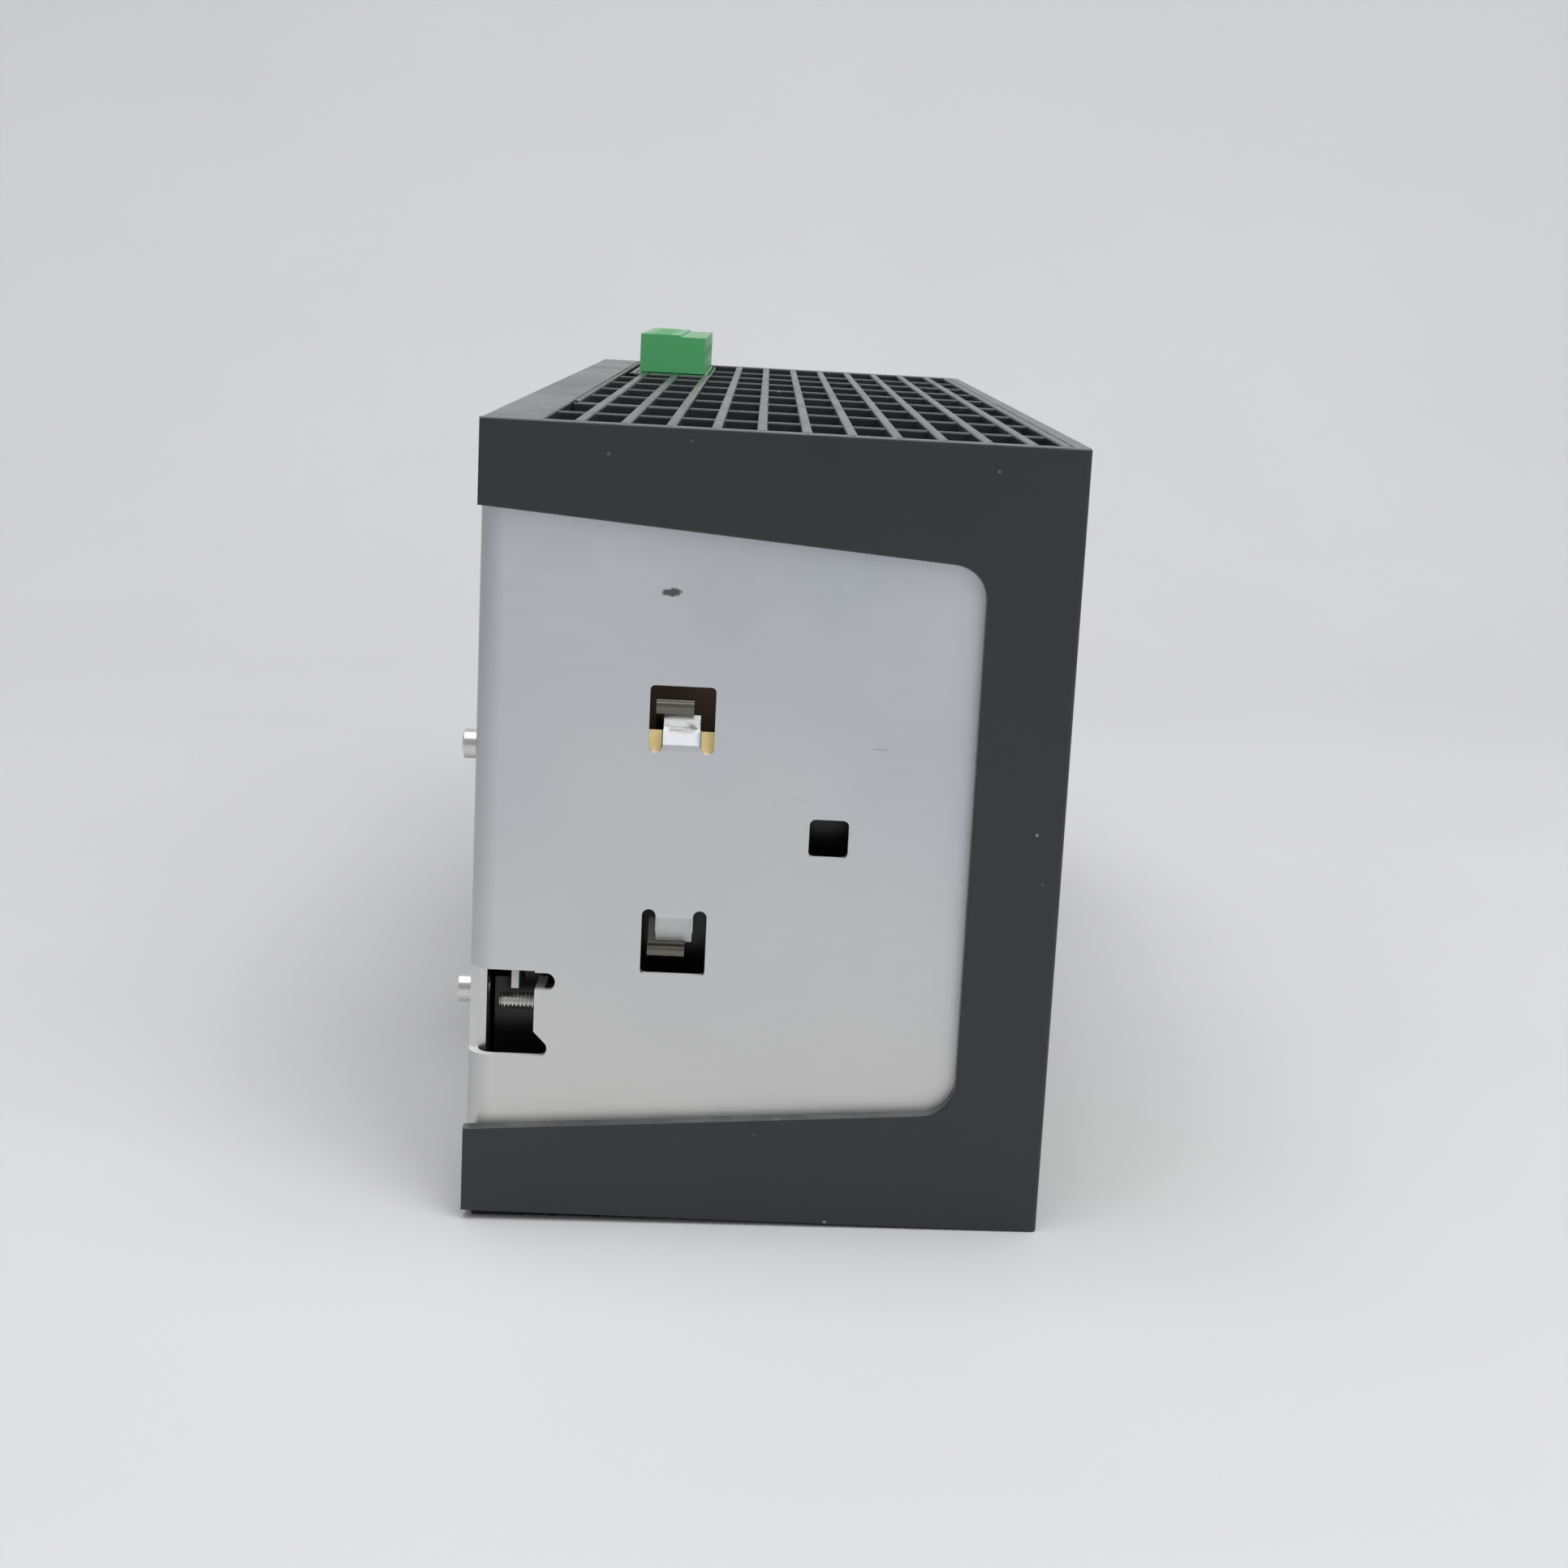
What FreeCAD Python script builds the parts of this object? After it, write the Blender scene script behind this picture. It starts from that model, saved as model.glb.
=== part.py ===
"""DIN rail power supply: an aluminium chassis closed by charcoal mouldings, with boards, parts and plugs.

Millimetres, +Z up. The origin is under the middle of the part, on the surface that it stands on. The front
faces -Y, the rail side faces +Y. Places are given as across(w) from the left end, back(u) from the rear edge
of the side frames towards the front, and down(v) from the top.
"""
import FreeCAD, Part
import math
import os

from FreeCAD import Vector

# driving sizes of the case
WIDTH = 288.0
DEPTH = 95.6
HEIGHT = 130.0
REAR_STANDOUT = 9.0          # rail brackets behind the side frames
FOOT_RISE = 1.6              # the bottom moulding is this much deeper at its rear edge
FRAME_T = 2.5                # side frame thickness
SHEET_T = 1.5                # chassis sheet
SHEET_INSET = 0.05           # chassis rear face, inside the side frames' rear edge
BEND_R = 4.0
CLEAR = 0.3

# grilles
BAND = 10.4                  # plain band along the rear of the top
STRIP_T = 1.65
STRIP_PITCH = 7.19
STRIP_FIRST = 15.0
STRIP_COUNT = 11
GRILLE_RIM_FRONT = 4.0
GRILLE_T = 4.5
ROWS = 9
SEAM_ROW = 2                 # the insert starts after this row
BAR_DROP = 0.35              # cross bars lie this far below the strips
INSERT_END = 30.3            # front edge of the insert round the output plug

# spring clamp windows in the side walls
WINDOW_U = (27.9, 38.45)
WINDOW_TOP = 41.05
WINDOW_SHOULDER = 48.3
WINDOW_END = 52.05
TAB_U = (30.2, 36.05)
MIDDLE_V = 65.0              # the lower window mirrors the upper one about this height
SLOT_W = 2.25

# earth corner
CUT_V = (89.2, 103.8)
CUT_U = 10.9
STUD_V = 96.0
STUD_R = 1.45
STUD_CORE_R = 1.08
STUD_PITCH = 0.65
TAB_V = (92.6, 99.4)           # height range of the earth tab
STUD_X_IN = 5.6              # stud axis, in from the side wall's outer face
REAR_SCREW_V = (53.3, 94.5)
REAR_SCREW_W = 9.5

# rail
RAIL_H = 35.0
RAIL_T = 1.0
BRACKET_W = 40.0
BRACKET_X = 36.0
BRACKET_BASE = 4.6

# plugs
POLE = 10.16
OUTPUT_POLES = 7
INPUT_POLES = 4
PLUG_DEPTH = 15.5
PLUG_RISE = 9.1

Z_LOW = FOOT_RISE
Z_TOP = FOOT_RISE + HEIGHT
Y_REAR = (DEPTH + REAR_STANDOUT) / 2 - REAR_STANDOUT
Y_FRONT = Y_REAR - DEPTH
X_LEFT = -WIDTH / 2
SIDE_OUT = WIDTH / 2 - FRAME_T           # outer face of the chassis side walls
SIDE_IN = SIDE_OUT - SHEET_T
REAR_OUT = Y_REAR - SHEET_INSET          # outer face of the rear wall
REAR_IN = REAR_OUT - SHEET_T
BOARD_T = 1.2
BOARD_Y = Y_REAR - 6.85                  # rear face of the main board
BOARD_FRONT = BOARD_Y - BOARD_T
FRONT_BOARD_Y = Y_FRONT + 17.0           # front face of the front board

X = Vector(1, 0, 0)
Y = Vector(0, 1, 0)
Z = Vector(0, 0, 1)


def across(w):
    return X_LEFT + w


def back(u):
    return Y_REAR - u


def down(v):
    return Z_TOP - v


def box(x0, x1, y0, y1, z0, z1):
    """A block between two corners, given in any order."""
    low = [min(x0, x1), min(y0, y1), min(z0, z1)]
    high = [max(x0, x1), max(y0, y1), max(z0, z1)]
    size = [b - a for a, b in zip(low, high)]
    return Part.makeBox(*size, Vector(*low))


def rod(r, length, base, axis=Z):
    return Part.makeCylinder(r, length, Vector(*base), axis)


def prism(points, axis, start, end):
    """A polygon swept along an axis. Its points are (y, z) for X, (x, z) for Y and (x, y) for Z."""
    if axis is X:
        corners = [Vector(start, a, b) for a, b in points]
    elif axis is Y:
        corners = [Vector(a, start, b) for a, b in points]
    else:
        corners = [Vector(a, b, start) for a, b in points]
    face = Part.Face(Part.makePolygon(corners + corners[:1]))
    return face.extrude(axis * (end - start))


def edges_along(shape, axis, keep):
    """The straight edges of a shape that run along an axis and whose middle passes the test."""
    found = []
    for edge in shape.Edges:
        if edge.Curve.TypeId != "Part::GeomLine":
            continue
        run = (edge.Vertexes[-1].Point - edge.Vertexes[0].Point).normalize()
        if abs(abs(run.dot(axis)) - 1) < 1e-6 and keep(edge.CenterOfMass):
            found.append(edge)
    return found


def rounded(shape, radius, axis, keep=lambda middle: True):
    return shape.makeFillet(radius, edges_along(shape, axis, keep))


def joined(shapes):
    return shapes[0].multiFuse(shapes[1:]).removeSplitter() if len(shapes) > 1 else shapes[0]


def mirrored(shape):
    """The same shape on the other side of the middle plane."""
    return shape.mirror(Vector(0, 0, 0), X)


def flipped(shape):
    """The same shape turned top to bottom about the middle height of the clamp windows."""
    return shape.mirror(Vector(0, 0, down(MIDDLE_V)), Z)


def moved(shape, x=0.0, y=0.0, z=0.0):
    return shape.translated(Vector(x, y, z))


# ---- chassis -------------------------------------------------------------------------------------

def bent_tray(outer, rear, front, radius):
    """The plan of the chassis, filled: a U whose two rear corners are bent to a radius."""
    block = box(-outer, outer, front, rear, down(HEIGHT - GRILLE_T), down(GRILLE_T))
    return rounded(block, radius, Z, lambda middle: middle.y > rear - 0.1)


def clamp_window():
    """Cutter for the upper window in the left wall: a square hole, with round ended slots beside its tab."""
    x0, x1 = -SIDE_OUT - 1, -SIDE_IN + 1
    hole = box(x0, x1, back(WINDOW_U[0]), back(WINDOW_U[1]), down(WINDOW_TOP), down(WINDOW_SHOULDER))
    hole = rounded(hole, 0.8, X, lambda middle: middle.z > down(WINDOW_TOP) - 0.1)
    slots = []
    for u in (WINDOW_U[0] + SLOT_W / 2, WINDOW_U[1] - SLOT_W / 2):
        end = WINDOW_END - SLOT_W / 2
        near, far = back(u - SLOT_W / 2), back(u + SLOT_W / 2)
        slots.append(box(x0, x1, near, far, down(WINDOW_SHOULDER - 1), down(end)))
        slots.append(rod(SLOT_W / 2, x1 - x0, (x0, back(u), down(end)), X))
    tongue = box(x0, x1, back(TAB_U[0]), back(TAB_U[1]), down(WINDOW_TOP + 2), down(WINDOW_END - 0.4))
    return joined([hole, tongue] + slots)


def clamp_tab():
    """The tongue that was cut out of the window, bent inwards to hook the clamp spring."""
    x = -SIDE_OUT
    side = [(x, down(WINDOW_END)), (x + 0.15, down(50.7)), (x + 2.7, down(46.1)), (x + 3.9, down(46.8)),
            (x + 1.75, down(51.0)), (x + SHEET_T, down(WINDOW_END))]
    tab = prism(side, Y, back(TAB_U[1]), back(TAB_U[0]))
    return rounded(tab, 0.5, Y, lambda middle: x + 0.1 < middle.x < x + 1.8 and middle.z > down(51.4))


def earth_tab():
    """The tab at the rear corner, bent inwards at right angles: it carries the earth stud."""
    top, low = down(TAB_V[0]), down(TAB_V[1])
    plate = box(-SIDE_OUT, -SIDE_OUT + 9.0, back(CUT_U), back(CUT_U + SHEET_T), top, low)
    bend = box(-SIDE_OUT, -SIDE_IN, back(CUT_U + 0.2), back(CUT_U + 4.0), top, low)
    tab = rounded(joined([plate, bend]), 1.2, Z, lambda m: m.x < -SIDE_OUT + 0.1 and m.y > back(CUT_U + 0.3))
    hole = rod(STUD_R, 10, (-SIDE_OUT + STUD_X_IN, back(CUT_U + 5), down(STUD_V)), Y)
    return tab.cut(hole)


def earth_cutout():
    """Cutter for the opening round the rear bend, with its relief slot above the tab and its toe below."""
    x0, x1 = -SIDE_OUT - 1, -SIDE_OUT + 4.0
    corner = box(x0, x1, back(-1), back(CUT_U), down(CUT_V[0]), down(CUT_V[1]))
    relief = joined([
        box(x0, -SIDE_IN + 1, back(CUT_U - 1), back(CUT_U + 1.8), down(TAB_V[0] - 3.1), down(TAB_V[0] - 0.1)),
        rod(1.5, SHEET_T + 2, (x0, back(CUT_U + 1.8), down(TAB_V[0] - 1.6)), X),
    ])
    toe_u, toe_v, toe_r = CUT_U + 0.85, CUT_V[1] - 1.4, 1.4
    slope = toe_r / math.sqrt(2)
    side = [(CUT_U - 1, 98.8), (CUT_U - 0.7, 98.8), (toe_u + slope, toe_v - slope), (toe_u, toe_v),
            (toe_u, CUT_V[1]), (CUT_U - 1, CUT_V[1])]
    toe = joined([
        prism([(back(u), down(v)) for u, v in side], X, x0, -SIDE_IN + 1),
        rod(toe_r, -SIDE_IN + 1 - x0, (x0, back(toe_u), down(toe_v)), X),
    ])
    return joined([corner, relief, toe])


def chassis():
    """The bent sheet with its windows, tabs, square hole and earth corner."""
    shell = bent_tray(SIDE_OUT, REAR_OUT, Y_FRONT + 4.0, BEND_R)
    shell = shell.cut(bent_tray(SIDE_IN, REAR_IN, Y_FRONT + 3.0, BEND_R - SHEET_T))
    window = clamp_window()
    square = box(-SIDE_OUT - 1, -SIDE_IN + 1, back(54.4), back(60.8), down(61.8), down(68.2))
    square = rounded(square, 1.0, X)
    side_cuts = [window, flipped(window), square]
    cuts = side_cuts + [mirrored(cut) for cut in side_cuts] + [earth_cutout()]
    for x, z in bracket_screw_places():
        cuts.append(rod(2.1, 10, (x, REAR_IN - 3, z), Y))
    for v in REAR_SCREW_V:
        cuts.append(rod(1.7, 10, (across(REAR_SCREW_W), REAR_IN - 3, down(v)), Y))
    tab = clamp_tab()
    tabs = [tab, flipped(tab)]
    return joined([shell.cut(Part.makeCompound(cuts)), earth_tab()] + tabs + [mirrored(one) for one in tabs])


# ---- mouldings -----------------------------------------------------------------------------------

def side_frame():
    """The left frame: two tapering arms and an upright, round a window with round inner corners."""
    plate = box(across(0), across(FRAME_T), back(0), back(DEPTH), Z_LOW, Z_TOP)
    front = DEPTH - 15.0
    window = [(back(-1), down(13.55)), (back(front), down(19.6)), (back(front), down(HEIGHT - 20.0)),
              (back(-1), down(HEIGHT - 14.15))]
    hole = prism(window, X, across(-1), across(FRAME_T + 1))
    hole = rounded(hole, 5.8, X, lambda middle: middle.y < back(front - 1))
    frame = plate.cut(hole)
    frame = rounded(frame, 0.8, Z, lambda middle: middle.y < back(DEPTH - 0.1) and middle.x < across(0.1))
    outer = [edge for edge in frame.Edges if abs(edge.CenterOfMass.x - across(0)) < 1e-3]
    return frame.makeFillet(0.3, [edge for edge in outer if edge.CenterOfMass.y > back(DEPTH - 1.2)])


def strip_places():
    return [STRIP_FIRST + STRIP_PITCH * n for n in range(STRIP_COUNT)]


def grille_columns():
    """The gaps between the strips, from the plain band to the front rim."""
    strips = strip_places()
    starts = [BAND] + [u + STRIP_T / 2 for u in strips]
    ends = [u - STRIP_T / 2 for u in strips] + [DEPTH - GRILLE_RIM_FRONT]
    return list(zip(starts, ends))


ROW_PITCH = (2 * SIDE_OUT - STRIP_T) / ROWS


def grille_cells(z_low, z_high, sink_low, sink_high):
    """Cutter for the cells of a panel, and for the space over its lowered cross bars."""
    cells = []
    for near, far in grille_columns():
        far = min(far, DEPTH - FRAME_T - 1.5)
        for row in range(ROWS):
            x = -SIDE_OUT + STRIP_T + ROW_PITCH * row
            cells.append(box(x, x + ROW_PITCH - STRIP_T, back(near), back(far), z_low, z_high))
        cells.append(box(-SIDE_OUT + STRIP_T, SIDE_OUT - STRIP_T, back(near), back(far), sink_low, sink_high))
    return Part.makeCompound(cells)


SEAM_X = -SIDE_OUT + ROW_PITCH * SEAM_ROW


def insert_zone(gap):
    """The space that the insert takes in the top panel, grown by a gap."""
    return box(SEAM_X - gap, SIDE_OUT + 1, back(BAND - 0.9 - gap), back(INSERT_END + gap), 0, 300)


PLUG_X = (across(WIDTH - 2.6 - OUTPUT_POLES * POLE), across(WIDTH - 2.6))
PLUG_U = (13.4, 13.4 + PLUG_DEPTH)


def top_panel():
    """The whole top moulding, before the insert is parted: a plain band and cells between long strips."""
    low = Z_TOP - GRILLE_T
    panel = box(-SIDE_OUT, SIDE_OUT, Y_REAR, Y_FRONT + FRAME_T, low, Z_TOP)
    return panel.cut(grille_cells(low - 1, Z_TOP + 1, Z_TOP - BAR_DROP, Z_TOP + 1))


def top_grille():
    """The main top moulding. Beside the insert it has a cross bar of its own and a slightly narrower band."""
    low = Z_TOP - GRILLE_T
    bar = box(SEAM_X - 0.15 - STRIP_T, SEAM_X - 0.15, back(BAND), back(INSERT_END), low, Z_TOP - BAR_DROP)
    wider = []
    for row in range(SEAM_ROW):
        x = -SIDE_OUT + ROW_PITCH * row
        wider.append(box(x + STRIP_T, x + ROW_PITCH, back(BAND - 1), back(BAND + 1), low - 1, Z_TOP + 1))
    return joined([top_panel().cut(insert_zone(0.15)), bar]).cut(Part.makeCompound(wider))


def plug_insert():
    """The insert between the seam and the right end, with the rim that holds the output header."""
    header = box(PLUG_X[0] - 0.9, PLUG_X[1] - 1.0, back(PLUG_U[0] - 0.9), back(PLUG_U[1] + 0.9), 0, 300)
    rim = box(PLUG_X[0] - 2.4, PLUG_X[1] - 0.3, back(PLUG_U[0] - 2.4), back(INSERT_END),
              Z_TOP - GRILLE_T, Z_TOP - 0.3)
    return joined([top_panel().common(insert_zone(0)), rim]).cut(header)


def bottom_grille():
    """The same cells underneath. The moulding is deeper at the rear: its lower face slopes."""
    rear, front = back(1.5), Y_FRONT + FRAME_T
    panel = box(-SIDE_OUT, SIDE_OUT, Y_REAR, front, Z_LOW, Z_LOW + GRILLE_T)
    wedge = prism([(rear, 0), (rear, Z_LOW), (front, Z_LOW), (front, Z_LOW - 0.1)], X, -SIDE_OUT, SIDE_OUT)
    inside = Z_LOW + GRILLE_T - BAR_DROP
    return joined([panel, wedge]).cut(grille_cells(-1, Z_LOW + GRILLE_T + 1, inside, Z_LOW + GRILLE_T + 1))


INPUT_X = (across(22.0), across(22.0) + INPUT_POLES * POLE)
INPUT_Z = (Z_LOW + 16.0, Z_LOW + 16.0 + PLUG_DEPTH)
LAMP_X = [across(60.0 + 9.0 * n) for n in range(3)]
LAMP_Z = Z_LOW + 104.0
ADJUSTER_X = across(48.0)


def front_panel():
    """The front wall between the side frames, with the input pocket, the lamp holes and the adjuster hole."""
    wall = box(-SIDE_OUT, SIDE_OUT, Y_FRONT, Y_FRONT + FRAME_T, Z_LOW, Z_TOP)
    field = box(across(18), across(WIDTH - 18), Y_FRONT - 1, Y_FRONT + 0.6, Z_LOW + 12, Z_TOP - 12)
    field = rounded(field, 3.0, Y)
    x0, x1 = INPUT_X[0] - 0.8, INPUT_X[1] + 0.8
    pocket = box(x0, x1, Y_FRONT - 1, Y_FRONT + 5, INPUT_Z[0] - 0.8, INPUT_Z[1] + 0.8)
    holes = [rod(1.8, 8, (x, Y_FRONT - 1, LAMP_Z), Y) for x in LAMP_X]
    holes.append(rod(2.6, 8, (ADJUSTER_X, Y_FRONT - 1, LAMP_Z), Y))
    return wall.cut(Part.makeCompound([field, pocket] + holes))


# ---- rail brackets -------------------------------------------------------------------------------

RAIL_Z = down(MIDDLE_V)
SEAT_Y = REAR_OUT + BRACKET_BASE           # the rail's flange lies on this plane
HOOK_Y = SEAT_Y + RAIL_T + 0.3
TIP_Y = Y_REAR + REAR_STANDOUT
SEAT_RISE = 0.3
GROOVE_W = 22.0
LIP_W = 16.0
LATCH_LOW = down(HEIGHT - 6.0)
PEG_Z = RAIL_Z - 37.0


def bracket_screw_places():
    return [(side * BRACKET_X, RAIL_Z + dz) for side in (-1, 1) for dz in (10.0, -9.0)]


def rail_bracket():
    """A bracket centred on X = 0: a base with the fixed hook and a grooved runway for the latch foot."""
    half = BRACKET_W / 2
    base = box(-half, half, REAR_OUT, SEAT_Y - SEAT_RISE, RAIL_Z - 42.0, RAIL_Z + 24.0)
    seat = box(-half, half, REAR_OUT, SEAT_Y, RAIL_Z - 13.5, RAIL_Z + 15.0)
    hook = box(-half, half, SEAT_Y - SEAT_RISE, TIP_Y, RAIL_Z + RAIL_H / 2 + 0.2, RAIL_Z + 24.0)
    lip = box(-half, half, HOOK_Y, TIP_Y, RAIL_Z + RAIL_H / 2 - 2.2, RAIL_Z + RAIL_H / 2 + 1)
    body = joined([base, seat, hook, lip])
    body = rounded(body, 1.2, X, lambda m: m.y > TIP_Y - 0.1)
    deep = box(-GROOVE_W / 2, GROOVE_W / 2, REAR_OUT + 1.4, REAR_OUT + 3.2, 0, RAIL_Z - 14.0)
    open_top = box(-LIP_W / 2, LIP_W / 2, REAR_OUT + 3.1, SEAT_Y + 1, 0, RAIL_Z - 14.0)
    holes = []
    for dz in (10.0, -9.0):
        holes.append(rod(2.1, 20, (0, REAR_OUT - 5, RAIL_Z + dz), Y))
        holes.append(rod(4.0, 20, (0, SEAT_Y - 2.8, RAIL_Z + dz), Y))
    peg = box(-2.0, 2.0, REAR_OUT + 1.0, REAR_OUT + 3.2, PEG_Z, PEG_Z + 2.5)
    return joined([body.cut(Part.makeCompound([deep, open_top] + holes)), peg])


def latch_foot():
    """The sliding foot: a winged plate in the groove, a lip over the rail's lower edge and a slotted tab."""
    top = RAIL_Z - RAIL_H / 2
    y0 = REAR_OUT + 1.4 + CLEAR
    wings = box(-GROOVE_W / 2 + CLEAR, GROOVE_W / 2 - CLEAR, y0, REAR_OUT + 3.1 - CLEAR, LATCH_LOW, top - 0.5)
    core = box(-LIP_W / 2 + CLEAR, LIP_W / 2 - CLEAR, y0, SEAT_Y - SEAT_RISE, LATCH_LOW, top - 0.5)
    jaw = box(-LIP_W / 2 + CLEAR, LIP_W / 2 - CLEAR, SEAT_Y - 1, TIP_Y, top - 7.0, top - 0.5)
    lip = prism([(HOOK_Y, top - 1), (TIP_Y, top - 1), (TIP_Y, top + 0.4), (HOOK_Y + 1.2, top + 2.2),
                 (HOOK_Y, top + 2.2)], X, -LIP_W / 2 + CLEAR, LIP_W / 2 - CLEAR)
    window = box(-3.6, 3.6, 0, 200, PEG_Z - CLEAR, PEG_Z + 2.5 + SPRING_LENGTH + 0.2)
    slot = box(-4.0, 4.0, 0, 200, LATCH_LOW + 3.0, LATCH_LOW + 5.2)
    return joined([wings, core, jaw, lip]).cut(Part.makeCompound([window, slot]))


SPRING_LENGTH = 11.0
SPRING_WIRE = 0.5
SPRING_R = 1.0


def latch_spring():
    """A close compression spring standing on the bracket's peg."""
    turns = 8
    pitch = (SPRING_LENGTH - 2 * SPRING_WIRE) / turns
    helix = Part.makeHelix(pitch, pitch * turns, SPRING_R)
    ring = Part.Wire([Part.makeCircle(SPRING_WIRE / 2, Vector(SPRING_R, 0, 0), Y)])
    coil = Part.Wire(helix.Edges).makePipeShell([ring], True, True)
    return moved(coil, 0, REAR_OUT + 3.0, PEG_Z + 2.5 + SPRING_WIRE)


def pan_screw(base, outward, r_head=2.5, head=2.1, shank=8.0, r_shank=1.9):
    """A pan head screw with a cross recess. Base is under the head, outward points from shank to head."""
    base = Vector(*base)
    head_part = Part.makeCylinder(r_head, head, base, outward)
    rim = [edge for edge in head_part.Edges if abs((edge.CenterOfMass - base).dot(outward) - head) < 1e-6]
    head_part = head_part.makeFillet(0.7, rim)
    shaft = Part.makeCylinder(r_shank, shank, base - outward * shank, outward)
    side = X if abs(outward.dot(X)) < 0.5 else Z
    other = outward.cross(side)
    top = base + outward * head
    slots = []
    for along, wide in ((side, other), (other, side)):
        corner = top - along * 1.5 - wide * 0.3 - outward * 0.9
        ends = [corner, corner + along * 3.0, corner + along * 3.0 + wide * 0.6, corner + wide * 0.6]
        slots.append(Part.Face(Part.makePolygon(ends + ends[:1])).extrude(outward * 2))
    return joined([head_part, shaft]).cut(Part.makeCompound(slots))


def bracket_screws():
    return [pan_screw((x, SEAT_Y - 2.8, z), Y, 3.6, 2.4, 7.5) for x, z in bracket_screw_places()]


def rear_screws():
    """The two pan head screws beside the earth corner."""
    x = across(REAR_SCREW_W)
    return [pan_screw((x, REAR_OUT, down(v)), Y, 2.4, 2.5, 2.6, 1.45) for v in REAR_SCREW_V]


def rear_nut_strip():
    """The threaded strip inside the rear wall that takes the two screws."""
    strip = box(across(6.6), across(13.0), REAR_IN, REAR_IN - 1.2, down(48), down(107))
    holes = [rod(1.5, 12, (across(REAR_SCREW_W), REAR_IN - 6, down(v)), Y) for v in REAR_SCREW_V]
    return strip.cut(Part.makeCompound(holes))


# ---- earth stud ----------------------------------------------------------------------------------

def earth_stud():
    """A threaded stud through the bent tab, its thread cut as close rings with narrow flat crests."""
    x, z = -SIDE_OUT + STUD_X_IN, down(STUD_V)
    start, end = back(CUT_U + 4.6), back(4.8)
    core = rod(STUD_CORE_R, end - start, (x, start, z), Y)
    crest = STUD_R - 0.02
    flank = STUD_PITCH / 2 - 0.05
    rings = []
    for n in range(int((end - start - 0.4) / STUD_PITCH)):
        y = start + 0.2 + STUD_PITCH * n
        rings.append(Part.makeCone(STUD_CORE_R, crest, flank, Vector(x, y, z), Y))
        rings.append(rod(crest, 0.1, (x, y + flank, z), Y))
        rings.append(Part.makeCone(crest, STUD_CORE_R, flank, Vector(x, y + flank + 0.1, z), Y))
    return joined([core] + rings)


def hexagon(across_flats, height, centre, axis):
    r = across_flats / math.sqrt(3)
    side = X if axis is not X else Z
    other = axis.cross(side)
    centre = Vector(*centre)
    turns = [math.radians(60 * n) for n in range(6)]
    points = [centre + side * (r * math.cos(turn)) + other * (r * math.sin(turn)) for turn in turns]
    return Part.Face(Part.makePolygon(points + points[:1])).extrude(axis * height)


def earth_nut():
    """A round clinch nut pressed against the front of the tab."""
    x, z = -SIDE_OUT + STUD_X_IN, down(STUD_V)
    y = back(CUT_U + SHEET_T) - 2.4
    return rod(2.9, 2.4, (x, y, z), Y).cut(rod(STUD_R, 6, (x, y - 1, z), Y))


# ---- spring clamps -------------------------------------------------------------------------------

CURL_R = 1.3
CURL_T = 0.6
CLAMP_U = (28.9, 34.95)
CURL_V = 44.75


def clamp_spring():
    """A bowed strip behind the left wall, its ends curled above and below the bent tabs, on the package."""
    x = -SIDE_IN
    top = down(CURL_V)
    middle = down(MIDDLE_V)
    curl = rod(CURL_R, CLAMP_U[1] - CLAMP_U[0], (x + 1.0, back(CLAMP_U[1]), top), Y)
    bore = rod(CURL_R - CURL_T, 20, (x + 1.0, back(CLAMP_U[1]) - 5, top), Y)
    mouth = box(x - 1.2, x + 1.0, 0, 100, top - 0.75, top - 5)
    curl = curl.cut(bore).cut(mouth)
    bow = [(x + 1.65, top), (x + 4.3, down(50.4)), (x + 6.7, down(58.0)), (x + 6.1, middle),
           (x + 6.7, middle), (x + 7.3, down(58.0)), (x + 4.9, down(50.1)), (x + 2.3, top)]
    leaf = prism(bow, Y, back(CLAMP_U[1]), back(CLAMP_U[0]))
    half = joined([leaf, curl])
    return joined([half, flipped(half)])


def power_package():
    """A flat power package held to the left wall by the clamp spring, with its three legs."""
    x = -SIDE_IN
    body = box(x + 0.5, x + 5.4, back(24.2), back(40.2), down(55.0), down(75.0))
    body = rounded(body, 0.6, X)
    rear = back(24.2)
    legs = [box(x + 2.6, x + 3.3, rear, BOARD_FRONT, down(v), down(v + 1.2)) for v in (59.5, 65.0, 70.5)]
    return joined([body] + legs)


def insulating_pad():
    """The tan pad against the wall, seen through the window's slots and cut out round the bent tabs."""
    x = -SIDE_IN
    pad = box(x, x + 0.5, back(23.0), back(41.5), down(48.6), down(2 * MIDDLE_V - 52.4))
    return pad.cut(box(x - 1, x + 1, back(TAB_U[0] - 0.25), back(TAB_U[1] + 0.25), down(40), down(52.4)))


def insulating_card():
    """A brown card standing behind the upper window, between the clamp and the film."""
    return box(-SIDE_IN + 8.4, -SIDE_IN + 8.9, back(20.0), back(48.0), down(34.0), down(62.0))


def insulation_film():
    """The black film between the side wall and the board's parts, reaching back below the board's notch."""
    x = -SIDE_IN + 9.6
    sheet = box(x, x + 0.4, BOARD_FRONT - 0.3, FRONT_BOARD_Y + BOARD_T + 2, down(HEIGHT - 8), down(8))
    tail = box(x, x + 0.4, back(3.4), BOARD_FRONT - 1, down(HEIGHT - 8), down(93.6))
    return joined([sheet, tail])


# ---- boards and parts on them --------------------------------------------------------------------

STANDOFF_PLACES = [(sx * 118.0, z) for sx in (-1, 1) for z in (Z_LOW + 14, Z_LOW + 116)] + [(0, Z_LOW + 116)]


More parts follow.
